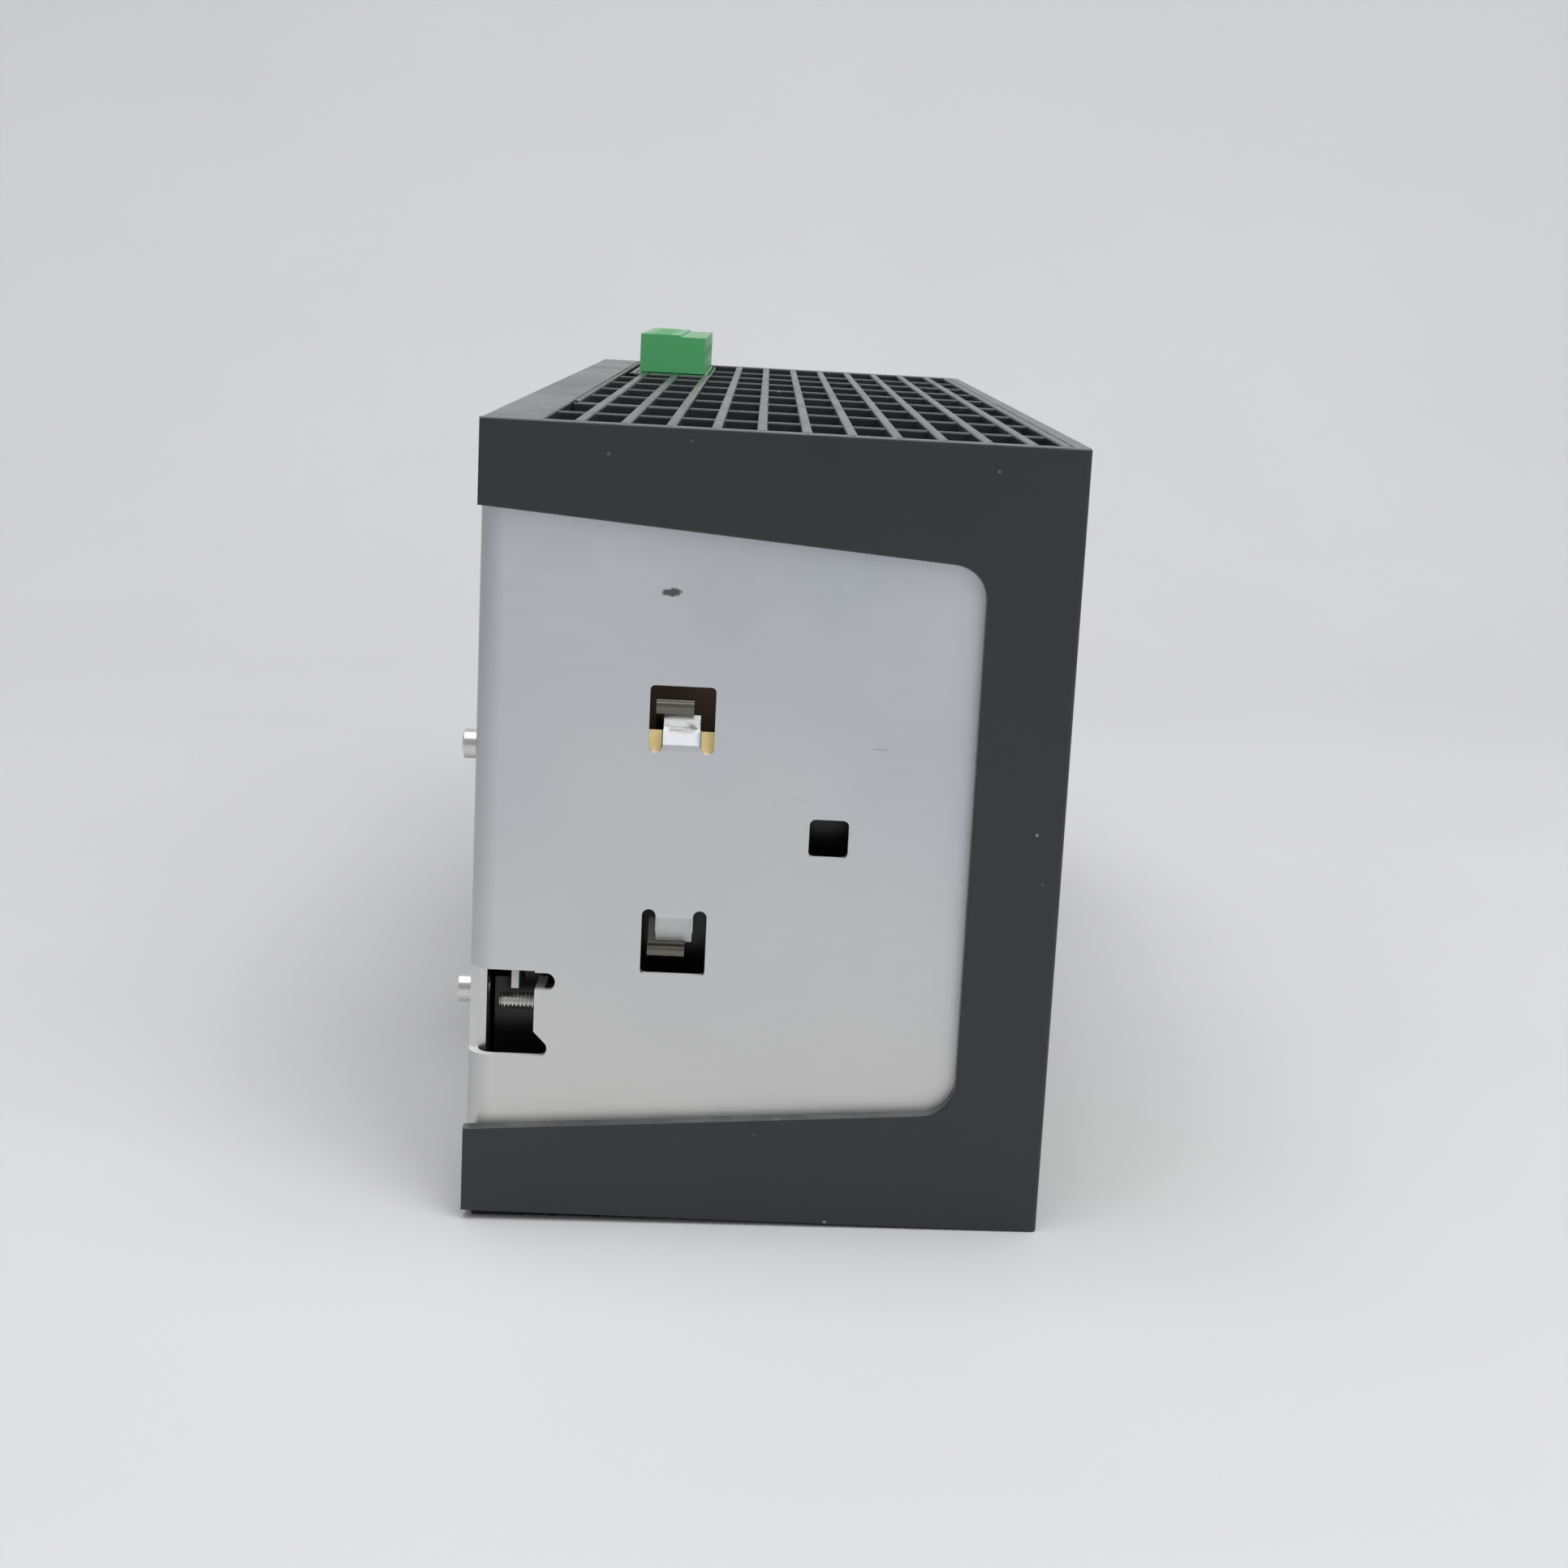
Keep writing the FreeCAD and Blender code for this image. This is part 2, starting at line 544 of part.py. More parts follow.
def main_board():
    """The board along the rear wall, notched round the earth corner."""
    board = box(-SIDE_IN + 1.4, SIDE_IN - 1.4, BOARD_FRONT, BOARD_Y, Z_LOW + 6, Z_TOP - 6)
    notch = box(-SIDE_IN, -SIDE_OUT + 14.0, 0, 100, 0, down(93.1))
    board = board.cut(notch)
    holes = [rod(1.7, 10, (x, BOARD_FRONT - 4, z), Y) for x, z in STANDOFF_PLACES]
    return board.cut(Part.makeCompound(holes))


def standoffs():
    posts = []
    for x, z in STANDOFF_PLACES:
        post = hexagon(6.0, REAR_IN - BOARD_Y, (x, BOARD_Y, z), Y)
        posts.append(post.cut(rod(1.5, 20, (x, BOARD_Y - 5, z), Y)))
    return posts


def board_screws():
    return [pan_screw((x, BOARD_FRONT, z), -Y, 2.6, 1.8, 4.5, 1.45) for x, z in STANDOFF_PLACES]


def front_board():
    board = box(across(14), across(110), FRONT_BOARD_Y, FRONT_BOARD_Y + BOARD_T, Z_LOW + 8, Z_TOP - 8)
    return board


def standing_can(r, length, x, z):
    """An electrolytic capacitor lying forward from the main board, with its crimp groove and scored end."""
    y = BOARD_FRONT - length
    can = rod(r, length, (x, y, z), Y)
    end = [edge for edge in can.Edges if abs(edge.CenterOfMass.y - y) < 1e-6 and edge.Length > 1]
    can = can.makeFillet(1.0, end)
    groove = Part.makeTorus(r + 0.5, 1.0, Vector(x, BOARD_FRONT - 5.0, z), Y)
    score = [box(x - 0.6 * r, x + 0.6 * r, y - 1, y + 0.3, z - 0.3, z + 0.3),
             box(x - 0.3, x + 0.3, y - 1, y + 0.3, z - 0.6 * r, z + 0.6 * r)]
    return can.cut(Part.makeCompound([groove] + score))


def bulk_capacitors():
    return [standing_can(16.0, 48.0, x, z) for x in (-66.0, -31.0) for z in (Z_LOW + 27, Z_LOW + 64)]


def output_capacitors():
    return [standing_can(8.0, 34.0, 66.0 + 18.0 * n, z) for n in range(4) for z in (Z_LOW + 90, Z_LOW + 72)]


TRANSFORMER = (22.0, Z_LOW + 56.0)
CORE_W, CORE_H, CORE_L = 52.0, 56.0, 38.0


def transformer_core():
    """Two E halves: a frame with a middle leg, lying forward from the board."""
    x, z = TRANSFORMER
    y1 = BOARD_FRONT - 5.0
    y0 = y1 - CORE_L
    block = box(x - CORE_W / 2, x + CORE_W / 2, y0, y1, z - CORE_H / 2, z + CORE_H / 2)
    wells = [box(x - CORE_W / 2 + 9, x - 9, y0 - 1, y1 + 1, z - CORE_H / 2 + 9, z + CORE_H / 2 - 9),
             box(x + 9, x + CORE_W / 2 - 9, y0 - 1, y1 + 1, z - CORE_H / 2 + 9, z + CORE_H / 2 - 9)]
    return block.cut(Part.makeCompound(wells))


def transformer_winding():
    """The taped coil round the core's middle leg."""
    x, z = TRANSFORMER
    y1 = BOARD_FRONT - 5.0
    y0 = y1 - CORE_L
    tall = CORE_H / 2 - 10.5
    outer = box(x - CORE_W / 2 + 9.5, x + CORE_W / 2 - 9.5, y0 - 7, y1 + 4.4, z - tall, z + tall)
    outer = rounded(outer, 4.0, Z)
    return outer.cut(box(x - 10.2, x + 10.2, y0 - 0.8, y1 + 0.8, 0, 200))


def transformer_bobbin():
    x, z = TRANSFORMER
    y1 = BOARD_FRONT - 5.0
    y0 = y1 - CORE_L
    tall = CORE_H / 2 - 9.3
    tube = box(x - 10.1, x + 10.1, y0 - 0.7, y1 + 0.7, z - tall, z + tall)
    return tube.cut(box(x - 9.05, x + 9.05, y0 - 0.05, y1 + 0.05, 0, 200))


def ring(outer, inner, length, x, z, y0):
    return rod(outer, length, (x, y0, z), Y).cut(rod(inner, length + 2, (x, y0 - 1, z), Y))


CHOKE = (92.0, Z_LOW + 36.0)
FILTER = (-107.0, Z_LOW + 94.0)


def toroid_core(place):
    x, z = place
    return ring(17.0, 9.5, 14.0, x, z, BOARD_FRONT - 20.0)


def toroid_winding(place, turns, sector, wire_r):
    """Separate round turns of enamelled wire laid over the core in one or two sectors."""
    x, z = place
    middle = 13.25
    y = BOARD_FRONT - 13.0
    coils = []
    half_w, half_h = 3.75 + 1.2 + wire_r, 7.0 + 1.0 + wire_r
    for start, end in sector:
        for n in range(turns):
            angle = start + (end - start) * n / (turns - 1)
            outer = box(middle - half_w, middle + half_w, -half_h, half_h, -wire_r * 0.92, wire_r * 0.92)
            inner = box(middle - half_w + 2 * wire_r, middle + half_w - 2 * wire_r,
                        -half_h + 2 * wire_r, half_h - 2 * wire_r, -5, 5)
            turn = outer.cut(inner)
            turn = rounded(turn, wire_r * 1.6, Z, lambda m: abs(m.y) > half_h - 0.01)
            turn.rotate(Vector(0, 0, 0), Y, angle)
            coils.append(moved(turn, x, y, z))
    return coils


def film_capacitor():
    body = box(-132.0 + 5, -112.0 + 5, BOARD_FRONT - 22.0, BOARD_FRONT, Z_LOW + 48, Z_LOW + 74)
    return rounded(body, 0.8, Y)


FUSE_X, FUSE_Z = -100.0, Z_LOW + 38.0


def fuse():
    y = BOARD_FRONT - 7.0
    glass = rod(2.5, 20.0, (FUSE_X, y, FUSE_Z - 10.0), Z)
    caps = [rod(2.6, 5.0, (FUSE_X, y, z), Z) for z in (FUSE_Z - 11.0, FUSE_Z + 6.0)]
    return joined([glass] + caps)


def fuse_clips():
    y = BOARD_FRONT - 7.0
    clips = []
    for z in (FUSE_Z - 11.0, FUSE_Z + 6.0):
        cup = box(FUSE_X - 3.6, FUSE_X + 3.6, y - 1.6, BOARD_FRONT, z + 0.5, z + 4.5)
        clips.append(cup.cut(rod(2.6, 10, (FUSE_X, y, z - 2), Z)).cut(
            box(FUSE_X - 2.0, FUSE_X + 2.0, y - 3, y, z - 1, z + 6)))
    return clips


def heat_sink():
    """A finned bar across the top of the board, for the bridge and the output rectifiers."""
    base = box(-80.0, 62.0, BOARD_FRONT - 40.0, BOARD_FRONT - 1.0, Z_LOW + 108, Z_LOW + 111)
    fins = [box(-80.0, 62.0, y, y + 1.6, Z_LOW + 111, Z_LOW + 122)
            for y in [BOARD_FRONT - 40.0 + 7.0 * n for n in range(6)]]
    return joined([base] + fins)


def sink_packages():
    """The bridge and the output rectifiers under the heat sink."""
    parts = []
    for x in (-66.0, -38.0, -10.0, 18.0, 46.0):
        block = box(x - 8, x + 8, BOARD_FRONT - 26, BOARD_FRONT - 5, Z_LOW + 103, Z_LOW + 108)
        parts.append(rounded(block, 0.6, Y))
    return parts


# ---- plugs ---------------------------------------------------------------------------------------
# Each is made lying along X with its wire side up, then turned to its place.

def funnel(x, y):
    """Cutter for a wire entry: it narrows from the plug's face to the clamp."""
    corners = ((-1, -1), (1, -1), (1, 1), (-1, 1))
    mouth = [Vector(x + a * 3.4, y + b * 2.6, PLUG_RISE + 0.1) for a, b in corners]
    throat = [Vector(x + a * 2.6, y + b * 1.95, PLUG_RISE - 1.9) for a, b in corners]
    return Part.makeLoft([Part.makePolygon(ring + ring[:1]) for ring in (throat, mouth)], True, True)


def plug_body(poles):
    """The green plug: a head with a funnel and a screw hole for each wire, and a narrower nose below."""
    length = poles * POLE
    head = box(0, length, 0, PLUG_DEPTH, 0.15, PLUG_RISE)
    step = box(-1, length + 1, -1, 6.0, PLUG_RISE - 0.4, PLUG_RISE + 1)
    nose = box(1.6, length - 1.6, 2.0, PLUG_DEPTH - 2.0, -8.0, 0.5)
    body = joined([head.cut(step), nose])
    cuts = []
    for n in range(poles):
        x = POLE * (n + 0.5)
        cuts.append(funnel(x, 10.6))
        cuts.append(box(x - 2.6, x + 2.6, 8.65, 12.55, 1.0, PLUG_RISE))
        cuts.append(rod(2.1, 9.0, (x, -1, 4.4), Y))
        cuts.append(box(x - 1.6, x + 1.6, 6.0, 9.4, -9.0, -1.0))
    return body.cut(Part.makeCompound(cuts))


def plug_screws(poles):
    """Slotted clamp screws, one in each screw hole, held a little below the plug's face."""
    screws = []
    for n in range(poles):
        x = POLE * (n + 0.5)
        screw = rod(1.95, 5.0, (x, 2.6, 4.4), Y)
        screws.append(screw.cut(box(x - 3, x + 3, 2, 3.4, 4.05, 4.75)))
    return screws


def plug_clamps(poles):
    """A steel clamp cage behind each funnel."""
    cages = []
    for n in range(poles):
        x = POLE * (n + 0.5)
        cage = box(x - 2.6, x + 2.6, 8.65, 12.55, 1.0, 6.2)
        cages.append(cage.cut(box(x - 2.0, x + 2.0, 9.2, 12.0, 2.2, 9)))
    return cages


def header_body(poles):
    """The shroud that the plug's nose goes into."""
    length = poles * POLE
    shell = box(0.2, length - 1.9, -0.5, PLUG_DEPTH + 0.5, -12.0, -0.15)
    well = box(1.3, length - 1.3, 1.7, PLUG_DEPTH - 1.7, -8.6, 1)
    return shell.cut(well)


def header_pins(poles):
    pins = []
    for n in range(poles):
        x = POLE * (n + 0.5)
        pins.append(box(x - 0.8, x + 0.8, 7.2, 8.2, -20.4, -3.0))
    return pins


def on_top(shapes):
    """To the top grille: the plug's front side towards the front of the case."""
    return [moved(shape, PLUG_X[0], back(PLUG_U[1]), Z_TOP) for shape in shapes]


INPUT_SET = 9.7       # how far the input plug's parting line lies behind the front face


def on_front(shapes):
    """To the front panel: laid forward, so the wire side faces out and the screw side down."""
    placed = []
    for shape in shapes:
        turned = shape.copy()
        turned.rotate(Vector(0, 0, 0), X, 90)
        placed.append(moved(turned, INPUT_X[0], Y_FRONT + INPUT_SET, INPUT_Z[0]))
    return placed


def output_header():
    shell = on_top([header_body(OUTPUT_POLES)])[0]
    return shell.cut(Part.makeCompound(on_top(header_pins(OUTPUT_POLES))))


def input_header():
    """Shorter than the output's, because it stands on the front board."""
    shell = on_front([header_body(INPUT_POLES)])[0]
    shell = shell.common(box(-200, 200, Y_FRONT, FRONT_BOARD_Y, 0, 200))
    return shell


def input_pins():
    space = box(-200, 200, Y_FRONT, FRONT_BOARD_Y, 0, 200)
    return [pin.common(space) for pin in on_front(header_pins(INPUT_POLES))]


def front_input_plug():
    """The input plug, with the same parts as the output plug but shorter in the nose."""
    body = on_front([plug_body(INPUT_POLES)])[0]
    return body.common(box(-200, 200, Y_FRONT, FRONT_BOARD_Y - 1.2, 0, 200))


def output_lead_board():
    """The upright board that carries the output header down to the main board."""
    x0, x1 = PLUG_X[0] + 2, PLUG_X[1] - 8
    return box(x0, x1, BOARD_FRONT, back(34.0), Z_TOP - 22.0, Z_TOP - 20.4)


# ---- lamps and adjuster --------------------------------------------------------------------------

def status_lamps():
    """Clear light pipes with domed heads, from the front board to the front face."""
    pipes = []
    for x in LAMP_X:
        pipe = rod(1.6, FRONT_BOARD_Y - Y_FRONT - 0.4, (x, Y_FRONT + 0.4, LAMP_Z), Y)
        ends = [edge for edge in pipe.Edges if edge.Length > 1]
        rim = [edge for edge in ends if abs(edge.CenterOfMass.y - Y_FRONT - 0.4) < 1e-6]
        pipes.append(pipe.makeFillet(0.7, rim))
    return pipes


def adjuster_body():
    half = 4.8
    x, y, z = ADJUSTER_X, FRONT_BOARD_Y, LAMP_Z
    block = box(x - half, x + half, y - 6.0, y, z - half, z + half)
    return block.cut(rod(1.65, 5.0, (ADJUSTER_X, FRONT_BOARD_Y - 7.0, LAMP_Z), Y))


def adjuster_rotor():
    """The slotted spindle, running in the adjuster body and reaching into the front panel's hole."""
    knob = rod(2.2, 7.2, (ADJUSTER_X, Y_FRONT + 1.2, LAMP_Z), Y)
    spindle = rod(1.6, FRONT_BOARD_Y - 2.3 - Y_FRONT - 1.2, (ADJUSTER_X, Y_FRONT + 1.2, LAMP_Z), Y)
    slot = box(ADJUSTER_X - 1.7, ADJUSTER_X + 1.7, Y_FRONT, Y_FRONT + 2.4, LAMP_Z - 0.4, LAMP_Z + 0.4)
    return joined([knob, spindle]).cut(slot)


# ---- the list of nodes ---------------------------------------------------------------------------

def compound(shapes):
    return Part.makeCompound(shapes)


def build_nodes():
    frame = side_frame()
    clamp, package, pad = clamp_spring(), power_package(), insulating_pad()
    nodes = {
        "chassis": chassis(),
        "side_frame_left": frame,
        "side_frame_right": mirrored(frame),
        "front_panel": front_panel(),
        "top_grille": top_grille(),
        "plug_insert": plug_insert(),
        "bottom_grille": bottom_grille(),
        "clamp_springs": compound([clamp, mirrored(clamp)]),
        "power_packages": compound([package, mirrored(package)]),
        "insulating_pads": compound([pad, mirrored(pad)]),
        "insulating_card": insulating_card(),
        "insulation_film": insulation_film(),
        "rear_screws": compound(rear_screws()),
        "rear_nut_strip": rear_nut_strip(),
        "earth_stud": earth_stud(),
        "earth_nut": earth_nut(),
        "main_board": main_board(),
        "board_standoffs": compound(standoffs()),
        "board_screws": compound(board_screws()),
        "front_board": front_board(),
        "bulk_capacitors": compound(bulk_capacitors()),
        "output_capacitors": compound(output_capacitors()),
        "film_capacitor": film_capacitor(),
        "transformer_core": transformer_core(),
        "transformer_bobbin": transformer_bobbin(),
        "transformer_winding": transformer_winding(),
        "output_choke_core": toroid_core(CHOKE),
        "output_choke_winding": compound(toroid_winding(CHOKE, 18, [(0, 320)], 1.0)),
        "filter_choke_core": toroid_core(FILTER),
        "filter_choke_windings": compound(toroid_winding(FILTER, 9, [(20, 160), (200, 340)], 0.8)),
        "fuse": fuse(),
        "fuse_clips": compound(fuse_clips()),
        "heat_sink": heat_sink(),
        "sink_packages": compound(sink_packages()),
        "output_header": output_header(),
        "output_header_pins": compound(on_top(header_pins(OUTPUT_POLES))),
        "output_lead_board": output_lead_board(),
        "output_plug": on_top([plug_body(OUTPUT_POLES)])[0],
        "output_plug_screws": compound(on_top(plug_screws(OUTPUT_POLES))),
        "output_plug_clamps": compound(on_top(plug_clamps(OUTPUT_POLES))),
        "input_header": input_header(),
        "input_header_pins": compound(input_pins()),
        "input_plug": front_input_plug(),
        "input_plug_screws": compound(on_front(plug_screws(INPUT_POLES))),
        "input_plug_clamps": compound(on_front(plug_clamps(INPUT_POLES))),
        "status_lamps": compound(status_lamps()),
        "adjuster_body": adjuster_body(),
        "adjuster_rotor": adjuster_rotor(),
        "bracket_screws": compound(bracket_screws()),
    }
    for name, x in (("left", -BRACKET_X), ("right", BRACKET_X)):
        nodes["rail_bracket_" + name] = moved(rail_bracket(), x)
        nodes["latch_foot_" + name] = moved(latch_foot(), x)
        nodes["latch_spring_" + name] = moved(latch_spring(), x)
    return nodes


os.makedirs("parts", exist_ok=True)
for node, shape in build_nodes().items():
    if not shape.isValid() or not shape.Solids:
        raise RuntimeError(node + " is not a valid solid")
    shape.exportStep("parts/" + node + ".step")
    print(node, len(shape.Solids), "solids", round(sum(s.Volume for s in shape.Solids) / 1000, 2), "cm3")
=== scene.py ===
"""Looks of a DIN rail power supply, built round its CAD frame.

Lengths are metres in the frame's own axes: +X right, +Y towards the rail, +Z up. Each new piece is a surface worked
out from two parameters and laid where the frame says.
"""

import bmesh
import bpy
import numpy as np
from bpy.props import FloatProperty, FloatVectorProperty, IntProperty, PointerProperty
from mathutils import Matrix, Vector


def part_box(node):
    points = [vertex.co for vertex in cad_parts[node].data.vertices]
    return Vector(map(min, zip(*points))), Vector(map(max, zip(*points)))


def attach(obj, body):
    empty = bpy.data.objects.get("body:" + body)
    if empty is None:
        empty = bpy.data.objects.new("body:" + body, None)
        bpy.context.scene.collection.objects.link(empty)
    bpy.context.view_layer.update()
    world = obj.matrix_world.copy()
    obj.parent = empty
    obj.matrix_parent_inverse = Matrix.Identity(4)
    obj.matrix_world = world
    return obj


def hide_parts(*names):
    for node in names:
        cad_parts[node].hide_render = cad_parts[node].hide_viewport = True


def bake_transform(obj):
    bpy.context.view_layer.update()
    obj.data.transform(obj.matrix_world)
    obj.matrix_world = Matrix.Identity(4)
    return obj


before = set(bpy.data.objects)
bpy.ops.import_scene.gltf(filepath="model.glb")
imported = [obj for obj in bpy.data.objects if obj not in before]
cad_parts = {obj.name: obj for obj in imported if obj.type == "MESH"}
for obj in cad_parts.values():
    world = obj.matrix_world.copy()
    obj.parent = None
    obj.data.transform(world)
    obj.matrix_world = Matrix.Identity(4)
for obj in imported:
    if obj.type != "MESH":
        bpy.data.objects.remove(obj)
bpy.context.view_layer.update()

bl_info = {
    "name": "Rail Power Supply",
    "version": (1, 0, 0),
    "blender": (4, 5, 0),
    "location": "View3D > Sidebar > Power Supply",
    "description": "Builds the finished surfaces of a DIN rail power supply round its CAD frame",
    "category": "Add Mesh",
}

MM = 0.001
SEED = 7
BASE_STEP = 1.5 * MM       # how far the bottom grille's sloping base starts from the rear edge
FLOOR_LEAN = 1.5 / 92.0    # the rise of that base over its depth
# pale grey laid on faces that look up: dust and a painted sheen
DUST_AND_SHEEN = (0.42, 0.41, 0.39, 1.0)
SPECK = (0.5, 0.5, 0.49, 1.0)


# ---- settings ----

def length(name, millimetres, description):
    return FloatProperty(name=name, description=description, default=millimetres * MM, unit="LENGTH", precision=5)


def colour(name, rgb, description):
    return FloatVectorProperty(name=name, description=description, default=rgb, size=3, subtype="COLOR",
                               min=0.0, max=1.0)


class CaseSettings(bpy.types.PropertyGroup):
    """Sizes and colours of the mouldings and the chassis."""
    strip_width: length("Strip Width", 1.65, "Width of a grille strip")
    strip_pitch: length("Strip Pitch", 7.19, "Distance from one strip to the next")
    first_strip: length("First Strip", 15.0, "From the rear edge to the middle of the first strip")
    band: length("Plain Band", 10.4, "Width of the closed band along the rear")
    front_rim: length("Front Rim", 4.0, "From the front face back to the last column of cells")
    bar_drop: length("Bar Drop", 0.35, "How far the cross bars lie below the strips")
    edge_radius: length("Edge Radius", 0.35, "Rounding of the grille's edges")
    rows: IntProperty(name="Rows", description="Rows of cells along the case", default=9, min=1)
    strips: IntProperty(name="Strips", description="Long strips in each grille", default=11, min=1)
    charcoal: colour("Charcoal", (0.017, 0.0225, 0.0240), "Colour of the mouldings")
    sheet: colour("Sheet", (0.665, 0.68, 0.70), "Colour of the aluminium sheet")


class PlugSettings(bpy.types.PropertyGroup):
    """Sizes and colours of the plugs and their screws."""
    screw_radius: length("Screw Radius", 1.9, "Radius of a clamp screw's head")
    green: colour("Green", (0.085, 0.42, 0.155), "Colour of the plugs and headers")


class WoundSettings(bpy.types.PropertyGroup):
    """Sizes and colours of the coils, springs and cans."""
    spring_wire: length("Spring Wire", 0.5, "Wire thickness of the latch springs")
    spring_turns: IntProperty(name="Spring Turns", description="Turns of a latch spring", default=8, min=2)
    choke_wire: length("Choke Wire", 2.0, "Wire thickness of the output choke")
    filter_wire: length("Filter Wire", 1.6, "Wire thickness of the line filter choke")
    copper: colour("Copper", (0.62, 0.22, 0.07), "Colour of the enamelled wire")
    tape: colour("Tape", (0.72, 0.50, 0.05), "Colour of the coil tape")


class StageSettings(bpy.types.PropertyGroup):
    """The floor, the lights and the camera."""
    camera_place: FloatVectorProperty(name="Camera Place", description="Where the camera stands", size=3,
                                      default=(-0.52607, -0.0009, 0.15443), subtype="TRANSLATION", unit="LENGTH")
    heading: FloatProperty(name="Heading", description="Turn of the camera from +X", default=np.radians(-2.754),
                           subtype="ANGLE")
    pitch: FloatProperty(name="Pitch", description="Tilt of the camera", default=np.radians(-11.506),
                         subtype="ANGLE")
    roll: FloatProperty(name="Roll", description="Roll of the camera", default=np.radians(3.246), subtype="ANGLE")
    lens: FloatProperty(name="Lens", description="Focal length on a 36 mm wide sensor, in millimetres",
                        default=55.92)
    shift: FloatProperty(name="Shift", description="Sideways lens shift, in frame widths", default=-0.0506)
    floor: colour("Floor", (0.665, 0.665, 0.67), "Colour of the floor and the backdrop")
    sky: FloatProperty(name="Sky", description="Strength of the even light", default=0.40, min=0.0)


# ---- surfaces ----

def grid_faces(rows, columns, wrap_rows=False, wrap_columns=False):
    """Quads between neighbours of a grid; a wrapped direction also joins its last line to its first."""
    i, j = np.meshgrid(np.arange(rows if wrap_rows else rows - 1),
                       np.arange(columns if wrap_columns else columns - 1), indexing="ij")
    down, along = (i + 1) % rows, (j + 1) % columns
    return np.stack([i * columns + j, down * columns + j, down * columns + along, i * columns + along],
                    -1).reshape(-1, 4)


class Surfaces:
    """Collects grids of points, in metres, and makes them one mesh."""

    def __init__(self):
        self.points, self.faces, self.count = [], [], 0

    def add(self, grid, wrap_rows=False, wrap_columns=True, caps=True):
        """Adds a grid shaped (rows, columns, 3). Caps close its first and last row."""
        rows, columns = grid.shape[:2]
        self.faces += (grid_faces(rows, columns, wrap_rows, wrap_columns) + self.count).tolist()
        if caps:
            self.faces.append(list(range(self.count, self.count + columns))[::-1])
            self.faces.append(list(range(self.count + (rows - 1) * columns, self.count + rows * columns)))
        self.points.append(grid.reshape(-1, 3))
        self.count += rows * columns
        return self

    def piece(self, name, look, body="housing", stands_for=(), slot=None, sharp=40.0):
        """The finished object: normals outwards, smooth but for edges sharper than the angle in degrees.

        The look is the name of a finish. The slot argument is not used.
        """
        mesh = bpy.data.meshes.new(name)
        mesh.from_pydata(np.concatenate(self.points).tolist(), [], self.faces)
        solid = bmesh.new()
        solid.from_mesh(mesh)
        bmesh.ops.remove_doubles(solid, verts=solid.verts, dist=1e-7)
        bmesh.ops.recalc_face_normals(solid, faces=solid.faces)
        solid.to_mesh(mesh)
        solid.free()
        mesh.polygons.foreach_set("use_smooth", np.ones(len(mesh.polygons), bool))
        mesh.set_sharp_from_angle(angle=np.radians(sharp))
        mesh.materials.append(finish(look))
        obj = bpy.data.objects.new(name, mesh)
        bpy.context.scene.collection.objects.link(obj)
        if body:
            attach(obj, body)
        if stands_for:
            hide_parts(*stands_for)
        slot = look if slot is None else slot
        return obj


def rounded_outline(width, height, radius, steps=3):
    """A rectangle about the origin whose corners are quarter circles of the radius.

    A point just past each end of an arc keeps the shading of the flat sides flat.
    """
    angle = np.linspace(0, np.pi / 2, steps + 1)
    guard = min(0.04 * MM, 0.2 * (min(width, height) - 2 * radius))
    quarters = []
    for turn, (side, top) in enumerate(((1, 1), (-1, 1), (-1, -1), (1, -1))):
        a = angle + turn * np.pi / 2
        centre = np.array([side * (width / 2 - radius), top * (height / 2 - radius)])
        arc = centre + radius * np.stack([np.cos(a), np.sin(a)], 1)
        onward = guard * np.stack([-np.sin(a), np.cos(a)], 1)
        quarters.append(np.concatenate([arc[:1] - onward[:1], arc, arc[-1:] + onward[-1:]]))
    return np.concatenate(quarters)


def angles(count):
    """Angles evenly round a turn."""
    return np.arange(count) * 2 * np.pi / count


def square_to(axis):
    """The axis and two directions square to it and to each other."""
    axis = np.asarray(axis, float)
    side = np.cross(axis, (0, 0, 1) if abs(axis[2]) < 0.5 else (1, 0, 0))
    return axis, side, np.cross(axis, side)


def circle(radius, count):
    """Points evenly round a circle about the origin."""
    a = angles(count)
    return radius * np.stack([np.cos(a), np.sin(a)], 1)


def carried(profile, path, up=(0, 0, 1), closed=False):
    """The profile stood square to a path: its first number goes along tangent x up, its second along the rest."""
    path = np.asarray(path, float)
    tangent = np.roll(path, -1, 0) - np.roll(path, 1, 0) if closed else np.gradient(path, axis=0)
    tangent /= np.linalg.norm(tangent, axis=1, keepdims=True)
    side = np.cross(tangent, up)
    side /= np.linalg.norm(side, axis=1, keepdims=True)
    top = np.cross(side, tangent)
    return path[:, None] + profile[None, :, :1] * side[:, None] + profile[None, :, 1:] * top[:, None]


def turned(profile, sectors, origin, axis):
    """A profile of (radius, height) turned round an axis through the origin."""
    axis, side, other = square_to(axis)
    a = angles(sectors)
    spoke = np.cos(a)[:, None] * side + np.sin(a)[:, None] * other
    profile = np.asarray(profile, float)
    return np.asarray(origin) + profile[:, None, :1] * spoke[None] + profile[:, None, 1:] * axis


